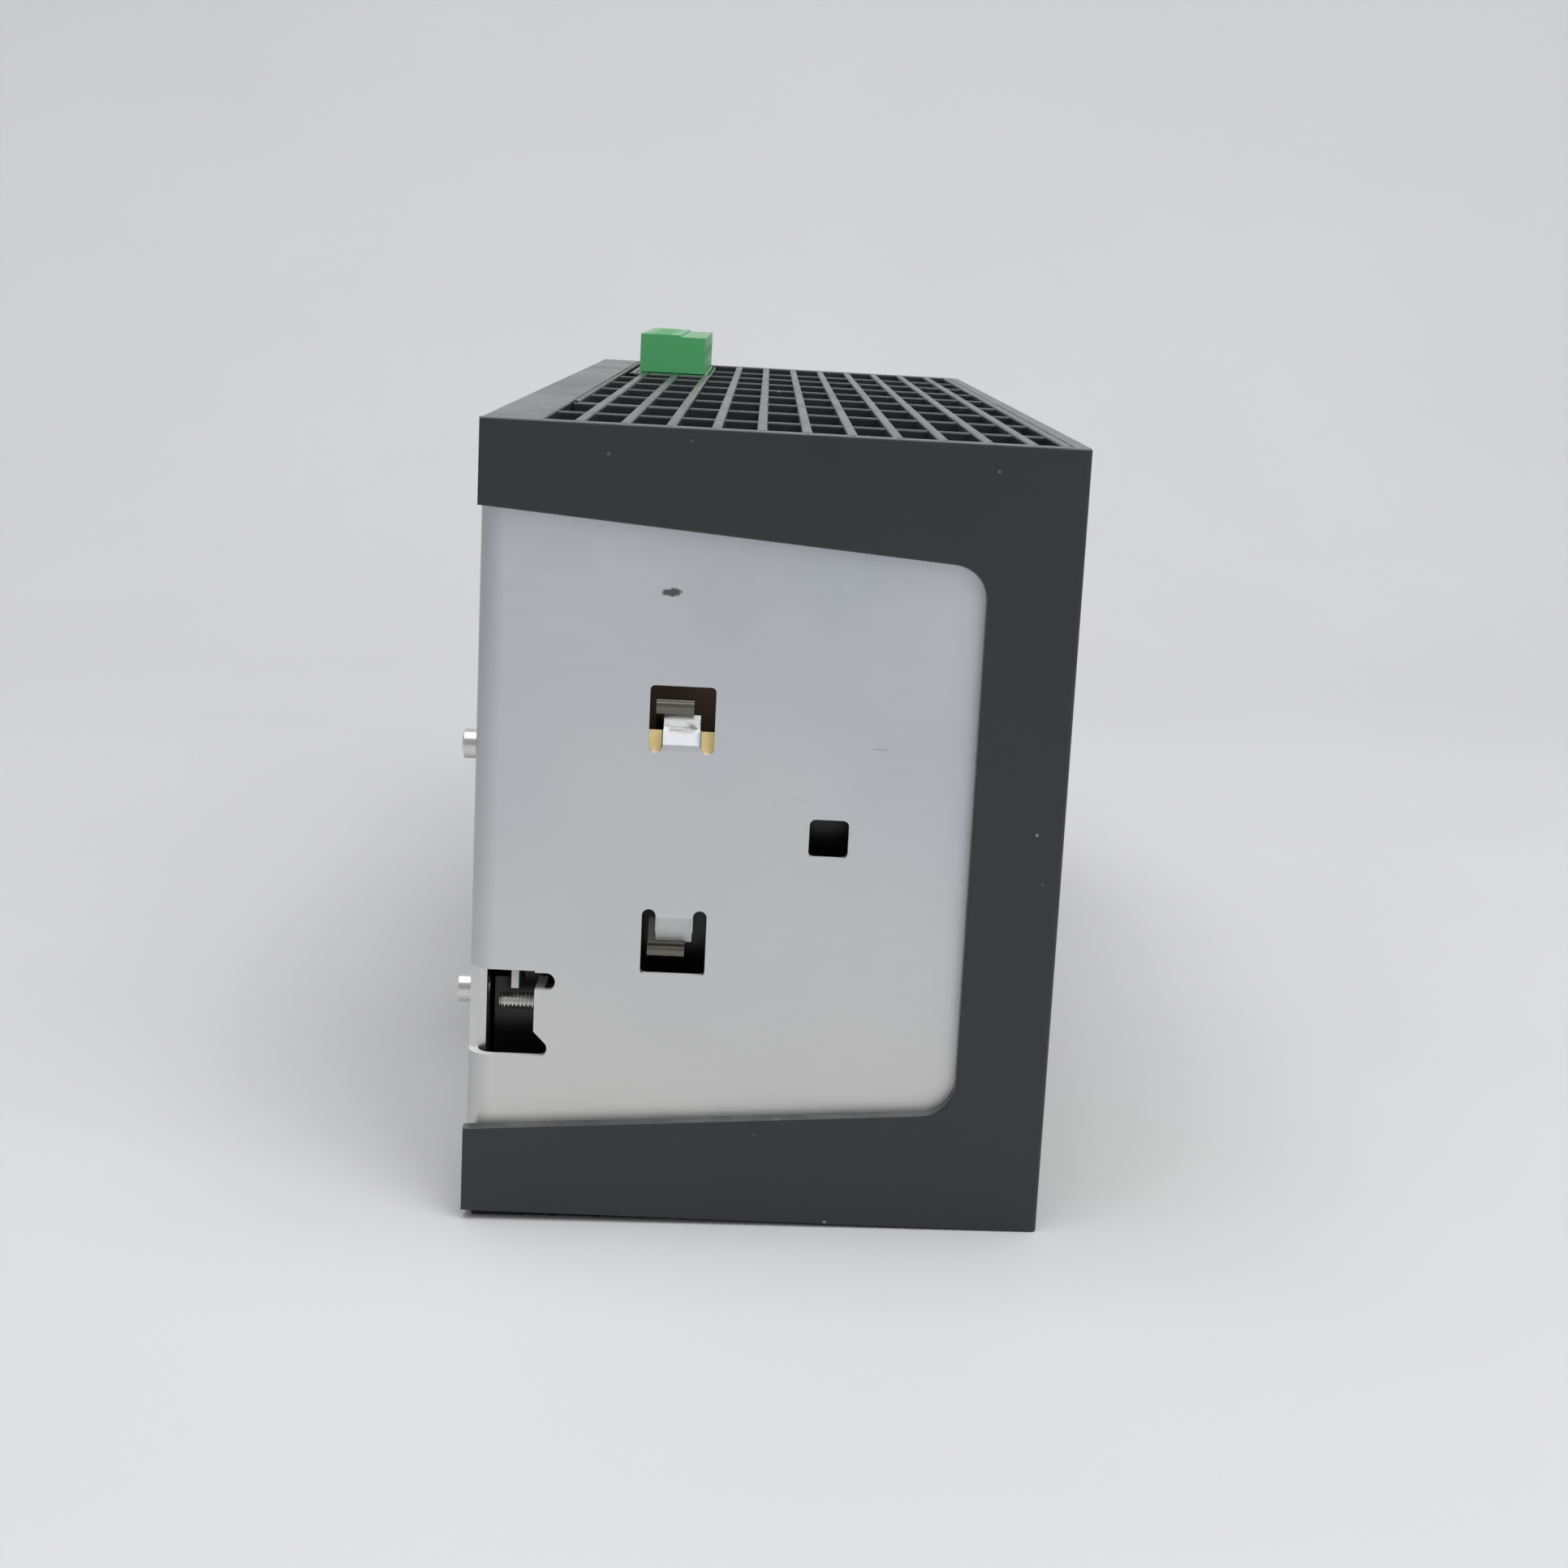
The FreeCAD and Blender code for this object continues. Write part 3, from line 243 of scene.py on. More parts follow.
def rounded_block(low, high, corner, edge, axis=2, steps=3):
    """A block between two corners: a rounded outline whose ends draw in by a quarter circle of the edge radius.

    A ring just past each end's curve keeps the shading of the long faces flat.
    """
    low, high = np.asarray(low, float), np.asarray(high, float)
    size, middle = high - low, (low + high) / 2
    across = [n for n in range(3) if n != axis]
    a = np.linspace(0, np.pi / 2, steps + 1)
    guard = edge + 0.25 * min(edge, size[axis] / 2 - edge)
    inset = np.concatenate([edge * (1 - np.sin(a)), [0.0, 0.0], edge * (1 - np.cos(a))])
    level = np.concatenate([edge * (1 - np.cos(a)), [guard, size[axis] - guard], size[axis] - edge * (1 - np.sin(a))])
    rings = []
    for shrink, rise in zip(inset, level):
        outline = rounded_outline(size[across[0]] - 2 * shrink, size[across[1]] - 2 * shrink,
                                  max(corner - shrink, 0.02 * MM), steps)
        ring = np.zeros((len(outline), 3))
        ring[:, across[0]] = middle[across[0]] + outline[:, 0]
        ring[:, across[1]] = middle[across[1]] + outline[:, 1]
        ring[:, axis] = low[axis] + rise
        rings.append(ring)
    return np.stack(rings)


def smooth_step(value, start, end):
    """0 before start, 1 after end, and 3t^2 - 2t^3 between."""
    t = np.clip((value - start) / (end - start), 0, 1)
    return t * t * (3 - 2 * t)


# ---- shader tools ----

def feed(tree, node, inputs):
    """Sets a node's inputs: values as they are, other nodes' outputs by a link."""
    for key, value in inputs.items():
        if isinstance(value, bpy.types.NodeSocket):
            tree.links.new(value, node.inputs[key])
        else:
            node.inputs[key].default_value = value
    return node


def add_node(tree, kind, inputs=None, **options):
    """A node with its options set and its inputs given as values or linked from other nodes' outputs."""
    node = tree.nodes.new("ShaderNode" + kind)
    for key, value in options.items():
        setattr(node, key, value)
    return feed(tree, node, inputs or {})


def maths(tree, operation, first, second=0.0):
    return add_node(tree, "Math", {0: first, 1: second}, operation=operation).outputs[0]


def times(tree, first, second):
    return maths(tree, "MULTIPLY", first, second)


def place_of(tree):
    """The shaded point in the object's own axes."""
    return add_node(tree, "TexCoord").outputs["Object"]


def normal_part(tree, axis):
    """One coordinate of the surface's normal."""
    return add_node(tree, "SeparateXYZ", {0: add_node(tree, "NewGeometry").outputs["Normal"]}).outputs[axis]


def noise(tree, where, scale, detail, **more):
    return add_node(tree, "TexNoise", {"Vector": where, "Scale": scale, "Detail": detail, **more}).outputs[0]


def blend_colours(tree, factor, first, second):
    return add_node(tree, "Mix", {0: factor, 6: first, 7: second}, data_type="RGBA").outputs[2]


def remapped(tree, value, low, high, to_low=0.0, to_high=1.0):
    return add_node(tree, "MapRange", {0: value, 1: low, 2: high, 3: to_low, 4: to_high}).outputs[0]


def shared_group(name, inputs, outputs, build):
    """A node group made once. Inputs are (name, default); outputs are the names of numbers."""
    tree = bpy.data.node_groups.get(name)
    if tree:
        return tree
    tree = bpy.data.node_groups.new(name, "ShaderNodeTree")
    for label, default in inputs:
        kind = "NodeSocketVector" if isinstance(default, tuple) else "NodeSocketFloat"
        tree.interface.new_socket(label, in_out="INPUT", socket_type=kind).default_value = default
    for label in outputs:
        tree.interface.new_socket(label, in_out="OUTPUT", socket_type="NodeSocketFloat")
    entry, leave = tree.nodes.new("NodeGroupInput"), tree.nodes.new("NodeGroupOutput")
    for label, socket in build(tree, entry.outputs).items():
        tree.links.new(socket, leave.inputs[label])
    return tree


def use_group(tree, group, **values):
    node = tree.nodes.new("ShaderNodeGroup")
    node.node_tree = group
    return feed(tree, node, {label.replace("_", " ").title(): value for label, value in values.items()}).outputs


def moulded_grain():
    """Fine spark-eroded grain of a moulding: two sizes of noise, and rare pale specks of dust."""
    def build(tree, given):
        where = place_of(tree)
        fine = noise(tree, where, given["Scale"], 3.0)
        broad = noise(tree, where, 38.0, 4.0)
        dots = add_node(tree, "TexVoronoi", {"Vector": where, "Scale": 260.0}).outputs["Distance"]
        rare = noise(tree, where, 95.0, 1.0)
        mask = times(tree, remapped(tree, dots, 0.10, 0.03), remapped(tree, rare, 0.60, 0.68))
        return {"Height": fine, "Patches": broad, "Specks": times(tree, mask, given["Specks"])}
    return shared_group("moulded grain", [("Scale", 2600.0), ("Specks", 0.5)],
                        ["Height", "Patches", "Specks"], build)


def edge_wear_and_highlight():
    """Where the surface turns sharply, for rubbed wear and a painted edge highlight: one less the dot product of the
    true normal and one rounded off.
    """
    def build(tree, given):
        soft = add_node(tree, "Bevel", {"Radius": given["Width"]}, samples=4).outputs[0]
        true = add_node(tree, "NewGeometry").outputs["Normal"]
        turn = add_node(tree, "VectorMath", {0: soft, 1: true}, operation="DOT_PRODUCT").outputs["Value"]
        where = place_of(tree)
        broken = noise(tree, where, 420.0, 3.0)
        edge = remapped(tree, turn, 0.995, 0.85)
        return {"Edge": times(tree, edge, remapped(tree, broken, 0.35, 0.62, 0.25, 1.0))}
    return shared_group("edge wear and highlight", [("Width", 0.0005)], ["Edge"], build)


def rolled_streaks():
    """The long fine lines that rolling leaves in sheet metal: noise drawn out along one direction."""
    def build(tree, given):
        where = place_of(tree)
        drawn = add_node(tree, "Mapping", {"Vector": where, "Scale": given["Draw"]}).outputs[0]
        return {"Lines": noise(tree, drawn, 1.0, 6.0, Roughness=0.65), "Clouds": noise(tree, where, 22.0, 3.0)}
    return shared_group("rolled streaks", [("Draw", (300.0, 60.0, 2400.0))],
                        ["Lines", "Clouds"], build)


def scratches():
    """Short hairlines: thin level lines of a stretched, bent noise, kept only in a few patches."""
    def build(tree, given):
        where = place_of(tree)
        laid = add_node(tree, "Mapping", {"Vector": where, "Rotation": (0.4, 0.0, 0.3),
                                          "Scale": (40.0, 40.0, 420.0)}).outputs[0]
        field = noise(tree, laid, 1.0, 1.0)
        line = maths(tree, "ABSOLUTE", maths(tree, "SUBTRACT", field, 0.5))
        patch = noise(tree, where, 55.0, 2.0)
        kept = remapped(tree, patch, 0.62, 0.70)
        return {"Mask": times(tree, times(tree, remapped(tree, line, 0.006, 0.0), kept),
                              given["Amount"])}
    return shared_group("scratches", [("Amount", 0.5)], ["Mask"], build)


def settled_dust_and_sheen():
    """Dust and a painted sheen on faces that look up: the normal's rise, broken up by noise."""
    def build(tree, given):
        rise = normal_part(tree, 2)
        where = place_of(tree)
        cloud = noise(tree, where, 150.0, 8.0)
        up = remapped(tree, rise, 0.55, 0.98)
        thick = times(tree, up, remapped(tree, cloud, 0.3, 0.7))
        return {"Mask": times(tree, thick, given["Amount"]), "Up": up}
    return shared_group("settled dust and sheen", [("Amount", 0.15)],
                        ["Mask", "Up"], build)


def new_material(name):
    """The tree and shader of a new material.

    Its name ends in finish, because the frame brings plain ones named after the slots.
    """
    material = bpy.data.materials.new(name + "_finish")
    material.use_nodes = True
    tree = material.node_tree
    return tree, tree.nodes["Principled BSDF"]


def bumped(tree, shader, height, strength, distance):
    bump = add_node(tree, "Bump", {"Height": height, "Strength": strength, "Distance": distance})
    tree.links.new(bump.outputs[0], shader.inputs["Normal"])


def rgba(colour_value, factor=1.0):
    return tuple(min(c * factor, 1.0) for c in colour_value[:3]) + (1.0,)


def plastic(name, base, roughness=0.5, grain=2600.0, specks=0.5, relief=0.25, dust=0.1, edge_paling=0.35, pale=1.6,
            gloss=0.5, polish=0.0):
    """Moulded plastic: grained, uneven in colour, paler along its edges as rubbed wear and a painted edge highlight,
    and paler on faces that look up as dust and a painted sheen.

    Polish, from 0 to 1, smooths the faces that look up.
    """
    tree, shader = new_material(name)
    texture = use_group(tree, moulded_grain(), scale=grain, specks=specks)
    edge = use_group(tree, edge_wear_and_highlight(), width=0.0004)["Edge"]
    up_dust_and_sheen = use_group(tree, settled_dust_and_sheen(), amount=dust)
    tone = blend_colours(tree, texture["Patches"], rgba(base, 0.86), rgba(base, 1.14))
    # paler edges: rubbed wear and a painted edge highlight
    tone = blend_colours(tree, times(tree, edge, edge_paling), tone, rgba(base, pale))
    # faces that look up: dust and a painted sheen
    tone = blend_colours(tree, up_dust_and_sheen["Mask"], tone, DUST_AND_SHEEN)
    tone = blend_colours(tree, texture["Specks"], tone, SPECK)
    rough = remapped(tree, texture["Patches"], 0.3, 0.7, roughness - 0.05, roughness + 0.06)
    kept = remapped(tree, up_dust_and_sheen["Up"], 0.0, 1.0, 1.0, 1.0 - polish)
    feed(tree, shader, {"Base Color": tone, "Roughness": times(tree, rough, kept), "Specular IOR Level": gloss})
    bumped(tree, shader, times(tree, texture["Height"], kept), relief, 0.00004)


def metal(name, base, roughness=0.35, draw=(300.0, 60.0, 2400.0), relief=0.06, edge_paling=0.4, hairlines=0.5,
          tint=None):
    """Bare metal: drawn or rolled lines in its roughness and relief, soft clouds, hairlines and bright edges."""
    tree, shader = new_material(name)
    streak = use_group(tree, rolled_streaks(), draw=draw)
    marks = use_group(tree, scratches(), amount=hairlines)["Mask"]
    edge = use_group(tree, edge_wear_and_highlight(), width=0.0003)["Edge"]
    tone = blend_colours(tree, streak["Lines"], rgba(base, 0.93), rgba(base, 1.05))
    tone = blend_colours(tree, remapped(tree, streak["Clouds"], 0.35, 0.65), tone, rgba(tint or base, 0.98))
    tone = blend_colours(tree, marks, tone, rgba(base, 0.45))
    tone = blend_colours(tree, times(tree, edge, edge_paling), tone, rgba(base, 1.2))
    rough = remapped(tree, streak["Lines"], 0.3, 0.7, roughness - 0.05, roughness + 0.08)
    feed(tree, shader, {"Base Color": tone, "Roughness": rough, "Metallic": 1.0})
    bumped(tree, shader, streak["Lines"], relief, 0.00005)
    return tree, shader


def dress(material, *nodes):
    """Gives CAD nodes their finish."""
    for name in nodes:
        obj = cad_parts[name]
        if not obj.material_slots:
            obj.data.materials.append(material)
        for entry in obj.material_slots:
            entry.material = material


def finish(name):
    """A finish made by an earlier step."""
    material = bpy.data.materials.get(name + "_finish")
    if material is None:
        raise RuntimeError("the finish " + name + " isn't made yet")
    return material


# ---- stage ----

def backdrop_grid(start, bend, radius, top, half_width, lean):
    """A floor that turns up into a wall: straight, a quarter circle, straight; the lean tips the floor along Y."""
    a = np.linspace(0, np.pi / 2, 24)
    x = np.concatenate([np.linspace(start, bend, 12), bend + radius * np.sin(a), np.full(6, bend + radius)])
    z = np.concatenate([np.zeros(12), radius * (1 - np.cos(a)), np.linspace(radius, top, 6)])
    y = np.linspace(-half_width, half_width, 30)
    grid = np.stack(np.broadcast_arrays(x[:, None], y[None], z[:, None]), -1).copy()
    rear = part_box("bottom_grille")[1].y
    grid[..., 2] += lean * (rear - BASE_STEP - grid[..., 1])
    return grid


def studio_paper(base):
    """Matt white paper with a faint mottle."""
    tree, shader = new_material("studio_paper")
    where = place_of(tree)
    mottle = noise(tree, where, 9.0, 5.0)
    tone = blend_colours(tree, mottle, rgba(base, 0.97), rgba(base, 1.03))
    feed(tree, shader, {"Base Color": tone, "Roughness": 0.85, "Specular IOR Level": 0.15})


def soft_light(name, place, target, size, power):
    lamp = bpy.data.lights.new(name, "AREA")
    lamp.shape, lamp.size, lamp.size_y = "RECTANGLE", size[0], size[1]
    lamp.energy = power
    obj = bpy.data.objects.new(name, lamp)
    bpy.context.scene.collection.objects.link(obj)
    aim = (Vector(target) - Vector(place)).to_track_quat("-Z", "Y")
    obj.matrix_world = Matrix.Translation(place) @ aim.to_matrix().to_4x4()
    return obj


class POWERSUPPLY_OT_stage(bpy.types.Operator):
    """Lay the floor, hang the soft lights and set the camera"""
    bl_idname = "powersupply.stage"
    bl_label = "Stage"

    def execute(self, context):
        settings = context.scene.powersupply_stage
        scene = context.scene
        scene.view_settings.view_transform = "Standard"
        sheet = backdrop_grid(start=-2.4, bend=0.42, radius=0.40, top=1.9, half_width=2.6, lean=FLOOR_LEAN)
        studio_paper(settings.floor)
        floor = Surfaces().add(sheet, wrap_columns=False, caps=False).piece("studio_floor", "studio_paper",
                                                                            body=None, slot="")
        world = bpy.data.worlds.new("studio")
        world.use_nodes = True
        world.node_tree.nodes["Background"].inputs[0].default_value = (0.97, 0.98, 1.0, 1.0)
        world.node_tree.nodes["Background"].inputs[1].default_value = settings.sky
        scene.world = world
        middle = (0.0, 0.0, 0.06)
        soft_light("softbox_front_side", (-0.85, -0.7, 0.9), middle, (0.9, 0.9), 5.5)
        soft_light("softbox_top", (-0.35, 0.0, 1.5), middle, (1.4, 1.4), 15.5)
        soft_light("softbox_beyond", (1.0, 0.3, 0.9), middle, (1.2, 0.8), 3.5)
        camera = bpy.data.cameras.new("camera")
        camera.lens, camera.sensor_width, camera.shift_x = settings.lens, 36.0, settings.shift
        camera.clip_start = 0.01
        obj = bpy.data.objects.new("camera", camera)
        scene.collection.objects.link(obj)
        h, p, r = settings.heading, settings.pitch, settings.roll
        ahead = Vector((np.cos(p) * np.cos(h), np.cos(p) * np.sin(h), np.sin(p)))
        level = Vector((np.sin(h), -np.cos(h), 0.0))
        over = level.cross(ahead)
        right = level * np.cos(r) + over * np.sin(r)
        up = over * np.cos(r) - level * np.sin(r)
        turn = Matrix((right, up, -ahead)).transposed().to_4x4()
        obj.matrix_world = Matrix.Translation(settings.camera_place) @ turn
        scene.camera = obj
        return {"FINISHED"}


# ---- finishes ----

def circuit_board(name):
    """Solder resist over tracks: stepped noise stands for the copper under it, with pale pads and bare edges."""
    tree, shader = new_material(name)
    where = place_of(tree)
    cells = add_node(tree, "TexVoronoi", {"Vector": where, "Scale": 130.0, "Randomness": 0.35},
                     distance="MANHATTAN", feature="F1").outputs["Distance"]
    tracks = remapped(tree, cells, 0.42, 0.46)
    pads = remapped(tree, add_node(tree, "TexVoronoi", {"Vector": where, "Scale": 210.0}).outputs["Distance"],
                    0.20, 0.17)
    tone = blend_colours(tree, tracks, (0.012, 0.10, 0.035, 1.0), (0.03, 0.17, 0.06, 1.0))
    tone = blend_colours(tree, times(tree, pads, 0.7), tone, (0.55, 0.53, 0.48, 1.0))
    facing = normal_part(tree, 1)
    rim = remapped(tree, maths(tree, "ABSOLUTE", facing), 0.5, 0.3)
    tone = blend_colours(tree, rim, tone, (0.62, 0.62, 0.58, 1.0))
    feed(tree, shader, {"Base Color": tone, "Roughness": 0.35})
    bumped(tree, shader, tracks, 0.3, 0.00003)


def spot(tree, where, middle, reach, ragged, amount):
    """A blot about a place: 1 inside, 0 outside, reach metres along each axis, its edge shifted by a ragged noise."""
    away = add_node(tree, "VectorMath", {0: where, 1: middle}, operation="SUBTRACT").outputs[0]
    away = add_node(tree, "VectorMath", {0: away, 1: tuple(1 / r for r in reach)}, operation="MULTIPLY").outputs[0]
    far = add_node(tree, "VectorMath", {0: away}, operation="LENGTH").outputs["Value"]
    far = maths(tree, "ADD", far, times(tree, ragged, amount))
    return remapped(tree, far, 1.0 + 0.6 * amount, 0.8 + 0.45 * amount)


def scuffed_sheet(base):
    """The chassis sheet: warmer low down by a painted floor reflection and darker round the bend by painted shade,
    with a scuff, a scratch, a polished tab tip with painted glints, and painted light on its up-facing cut edges.
    """
    tree, shader = metal("aluminium_sheet", base, roughness=0.46, draw=(90.0, 90.0, 1500.0), relief=0.05,
                         edge_paling=0.25, hairlines=0.15, tint=(0.61, 0.64, 0.685))
    low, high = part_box("chassis")
    where = place_of(tree)
    ragged = noise(tree, where, 900.0, 4.0)
    tone = shader.inputs["Base Color"].links[0].from_socket
    height = add_node(tree, "SeparateXYZ", {0: where}).outputs[2]
    # painted floor reflection: the lower part of the sheet blended towards a paler, warmer grey
    painted_floor_reflection = remapped(tree, height, low.z + 0.65 * (high.z - low.z), low.z)
    tone = blend_colours(tree, times(tree, painted_floor_reflection, 0.8), tone, (0.755, 0.735, 0.70, 1.0))
    # painted shade: faces turned towards +Y, round the rear bend, blended darker
    facing = normal_part(tree, 1)
    tone = blend_colours(tree, remapped(tree, facing, 0.05, 0.95, 0.0, 0.45), tone, rgba(base, 0.55))
    scuff_place = (low.x, high.y - 30.7 * MM, high.z - 21.6 * MM)
    scuff = spot(tree, where, scuff_place, (2 * MM, 1.7 * MM, 0.7 * MM), ragged, 1.0)
    tone = blend_colours(tree, times(tree, scuff, 0.9), tone, (0.07, 0.075, 0.075, 1.0))
    scratch_place = (low.x, high.y - 65.2 * MM, high.z - 45.3 * MM)
    scratch = spot(tree, where, scratch_place, (2 * MM, 1.6 * MM, 0.11 * MM), ragged, 0.4)
    tone = blend_colours(tree, times(tree, scratch, 0.55), tone, rgba(base, 0.4))
    curl_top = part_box("clamp_springs")[1].z
    tip = (low.x + 1.5 * MM, high.y - 33.1 * MM, curl_top - 3.4 * MM)
    polished = spot(tree, where, tip, (3.3 * MM, 4.2 * MM, 2.4 * MM), ragged, 0.5)
    # painted glints: noise folds blend dark grey and near-white colour over the polished tip, whose roughness is also
    # lowered
    laid = add_node(tree, "Mapping", {"Vector": where, "Scale": (900.0, 260.0, 900.0)}).outputs[0]
    folds = noise(tree, laid, 1.0, 3.0, Distortion=0.8)
    painted_glints = blend_colours(tree, remapped(tree, folds, 0.34, 0.52), (0.34, 0.35, 0.34, 1.0), (0.95, 0.95, 0.95, 1.0))
    tone = blend_colours(tree, polished, tone, painted_glints)
    # painted light: faces that look up, the sheet's cut edges, turned near-white and less metallic as if lit from
    # above
    rise = normal_part(tree, 2)
    sheared = remapped(tree, rise, 0.75, 0.95)
    tone = blend_colours(tree, sheared, tone, (0.86, 0.86, 0.85, 1.0))
    rough = shader.inputs["Roughness"].links[0].from_socket
    feed(tree, shader, {"Metallic": remapped(tree, sheared, 0.0, 1.0, 1.0, 0.25), "Base Color": tone,
                        "Roughness": remapped(tree, polished, 0.0, 1.0, rough, 0.22)})


def clear_glass(name, base, roughness):
    tree, shader = new_material(name)
    where = place_of(tree)
    haze = noise(tree, where, 400.0, 3.0)
    feed(tree, shader, {"Base Color": blend_colours(tree, haze, rgba(base, 0.92), rgba(base, 1.0)),
                        "Roughness": remapped(tree, haze, 0.3, 0.7, roughness, roughness + 0.08),
                        "Transmission Weight": 0.85, "IOR": 1.49})


WEARERS = {
    "charcoal": "side_frame_left side_frame_right front_panel top_grille plug_insert bottom_grille",
    "aluminium_sheet": "chassis",
    "terminal_green": "output_plug output_header input_plug input_header",
    "package_black": "power_packages sink_packages",
    "film_black": "insulation_film",
    "pad_tan": "insulating_pads",
    "card_tan": "insulating_card",
    "spring_steel": "clamp_springs latch_spring_left latch_spring_right",
    "zinc_steel": "rear_screws rear_nut_strip earth_stud earth_nut board_standoffs board_screws "
                  "bracket_screws",
    "terminal_steel": "output_plug_screws output_plug_clamps input_plug_screws input_plug_clamps",
    "tinned": "output_header_pins input_header_pins fuse_clips",
    "sink_aluminium": "heat_sink",
    "bracket_metal": "rail_bracket_left rail_bracket_right",
    "latch_plastic": "latch_foot_left latch_foot_right",
    "ferrite": "transformer_core",
    "core_green": "output_choke_core filter_choke_core",
    "tape_yellow": "transformer_winding",
    "bobbin": "transformer_bobbin",
    "capacitor_sleeve": "bulk_capacitors output_capacitors",
    "film_box": "film_capacitor",
    "enamel_copper": "output_choke_winding filter_choke_windings",
    "glass_tube": "fuse",
    "lamp_clear": "status_lamps",
    "adjuster_blue": "adjuster_body",
    "rotor_white": "adjuster_rotor",
    "board_green": "main_board front_board output_lead_board",
}


class POWERSUPPLY_OT_finishes(bpy.types.Operator):
    """Make the finishes and give them to the CAD nodes that keep their own shape"""
    bl_idname = "powersupply.finishes"
    bl_label = "Finishes"

    def execute(self, context):
        scene = context.scene
        case, plug, wound = scene.powersupply_case, scene.powersupply_plug, scene.powersupply_wound
        # pale=5.0 turns the edge mask into a painted edge highlight along the mouldings' edges
        plastic("charcoal", case.charcoal, roughness=0.36, specks=0.55, dust=0.16, edge_paling=0.6, pale=5.0,
                polish=0.25)
        scuffed_sheet(case.sheet)
        plastic("ceramic_tan", (0.42, 0.30, 0.18), roughness=0.5, specks=0.0, dust=0.0)
        metal("can_end", (0.72, 0.73, 0.74), roughness=0.32, draw=(700.0, 60.0, 700.0), relief=0.03)
        # the up-facing layer, set high here, pales the plug tops: dust and a painted sheen
        plastic("terminal_green", plug.green, roughness=0.42, grain=1900.0, specks=0.15, relief=0.1,
                dust=0.55, pale=1.5)
        plastic("package_black", (0.02, 0.02, 0.022), roughness=0.5, dust=0.05)
        plastic("film_black", (0.010, 0.010, 0.011), roughness=0.25, relief=0.05, specks=0.1, dust=0.0)
        plastic("pad_tan", (0.84, 0.66, 0.30), roughness=0.6, specks=0.1, dust=0.0)
        plastic("card_tan", (0.27, 0.19, 0.125), roughness=0.7, specks=0.1, dust=0.0)
        metal("spring_steel", (0.17, 0.165, 0.14), roughness=0.26, draw=(2400.0, 90.0, 500.0))
        metal("zinc_steel", (0.66, 0.66, 0.64), roughness=0.28, draw=(500.0, 500.0, 500.0))
        metal("terminal_steel", (0.60, 0.60, 0.58), roughness=0.30, draw=(400.0, 900.0, 900.0))
        metal("tinned", (0.72, 0.72, 0.70), roughness=0.25, draw=(400.0, 400.0, 1200.0))
        metal("sink_aluminium", (0.52, 0.53, 0.55), roughness=0.40, draw=(40.0, 1500.0, 1500.0))
        metal("bracket_metal", (0.56, 0.57, 0.58), roughness=0.44, draw=(60.0, 1500.0, 900.0), edge_paling=0.5)
        plastic("ferrite", (0.045, 0.045, 0.05), roughness=0.6, grain=1200.0, relief=0.5, dust=0.05)
        plastic("core_green", (0.05, 0.24, 0.17), roughness=0.35, relief=0.15, dust=0.05)
        plastic("tape_yellow", wound.tape, roughness=0.28, grain=700.0, relief=0.08, specks=0.0, dust=0.05)
        plastic("bobbin", (0.05, 0.04, 0.04), roughness=0.5)
        plastic("capacitor_sleeve", (0.018, 0.02, 0.032), roughness=0.3, grain=600.0, relief=0.08, dust=0.08)
        plastic("film_box", (0.70, 0.52, 0.07), roughness=0.35, dust=0.05)
        plastic("adjuster_blue", (0.02, 0.10, 0.36), roughness=0.4)
        plastic("rotor_white", (0.75, 0.75, 0.70), roughness=0.45)
        plastic("latch_plastic", (0.034, 0.036, 0.038), roughness=0.45, dust=0.05, pale=2.0)
        metal("enamel_copper", wound.copper, roughness=0.22, draw=(900.0, 900.0, 900.0), relief=0.03, hairlines=0.0)
        clear_glass("glass_tube", (0.92, 0.95, 0.95), 0.03)
        clear_glass("lamp_clear", (0.72, 0.90, 0.74), 0.12)
        circuit_board("board_green")
        for name, nodes in WEARERS.items():
            dress(finish(name), *nodes.split())
        return {"FINISHED"}


# ---- grilles ----

class Grille:
    """Lays the bars of a vented moulding. Places are u, from the rear edge towards the front, and x, in metres."""

    def __init__(self, case, low, high, base=None):
        frame_low, frame_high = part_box("side_frame_left")
        self.case, self.low, self.high, self.base = case, low, high, base
        self.rear, self.depth, self.side = frame_high.y, frame_high.y - frame_low.y, -frame_high.x
        self.strips = case.first_strip + case.strip_pitch * np.arange(case.strips)
        self.rows = -self.side + (2 * self.side - case.strip_width) / case.rows * np.arange(case.rows + 1)
        self.out = Surfaces()

    def bar(self, x0, x1, u0, u1, drop=0.0, inside_drop=0.0):
        """One bar with rounded long edges. Where the moulding has a sloping base its lower face is sheared onto it."""
        low = (x0, self.rear - u1, self.low + drop)
        high = (x1, self.rear - u0, self.high - inside_drop)
        grid = rounded_block(low, high, self.case.edge_radius, 0.1 * MM, axis=0 if x1 - x0 > u1 - u0 else 1)
        if self.base:
            fall = (high[2] - grid[..., 2]) / (high[2] - low[2])
            grid[..., 2] = high[2] - fall * (high[2] - self.base(self.rear - grid[..., 1]))
        self.out.add(grid)

    def strip(self, u, x0, x1):
        self.bar(x0, x1, u - self.case.strip_width / 2, u + self.case.strip_width / 2)


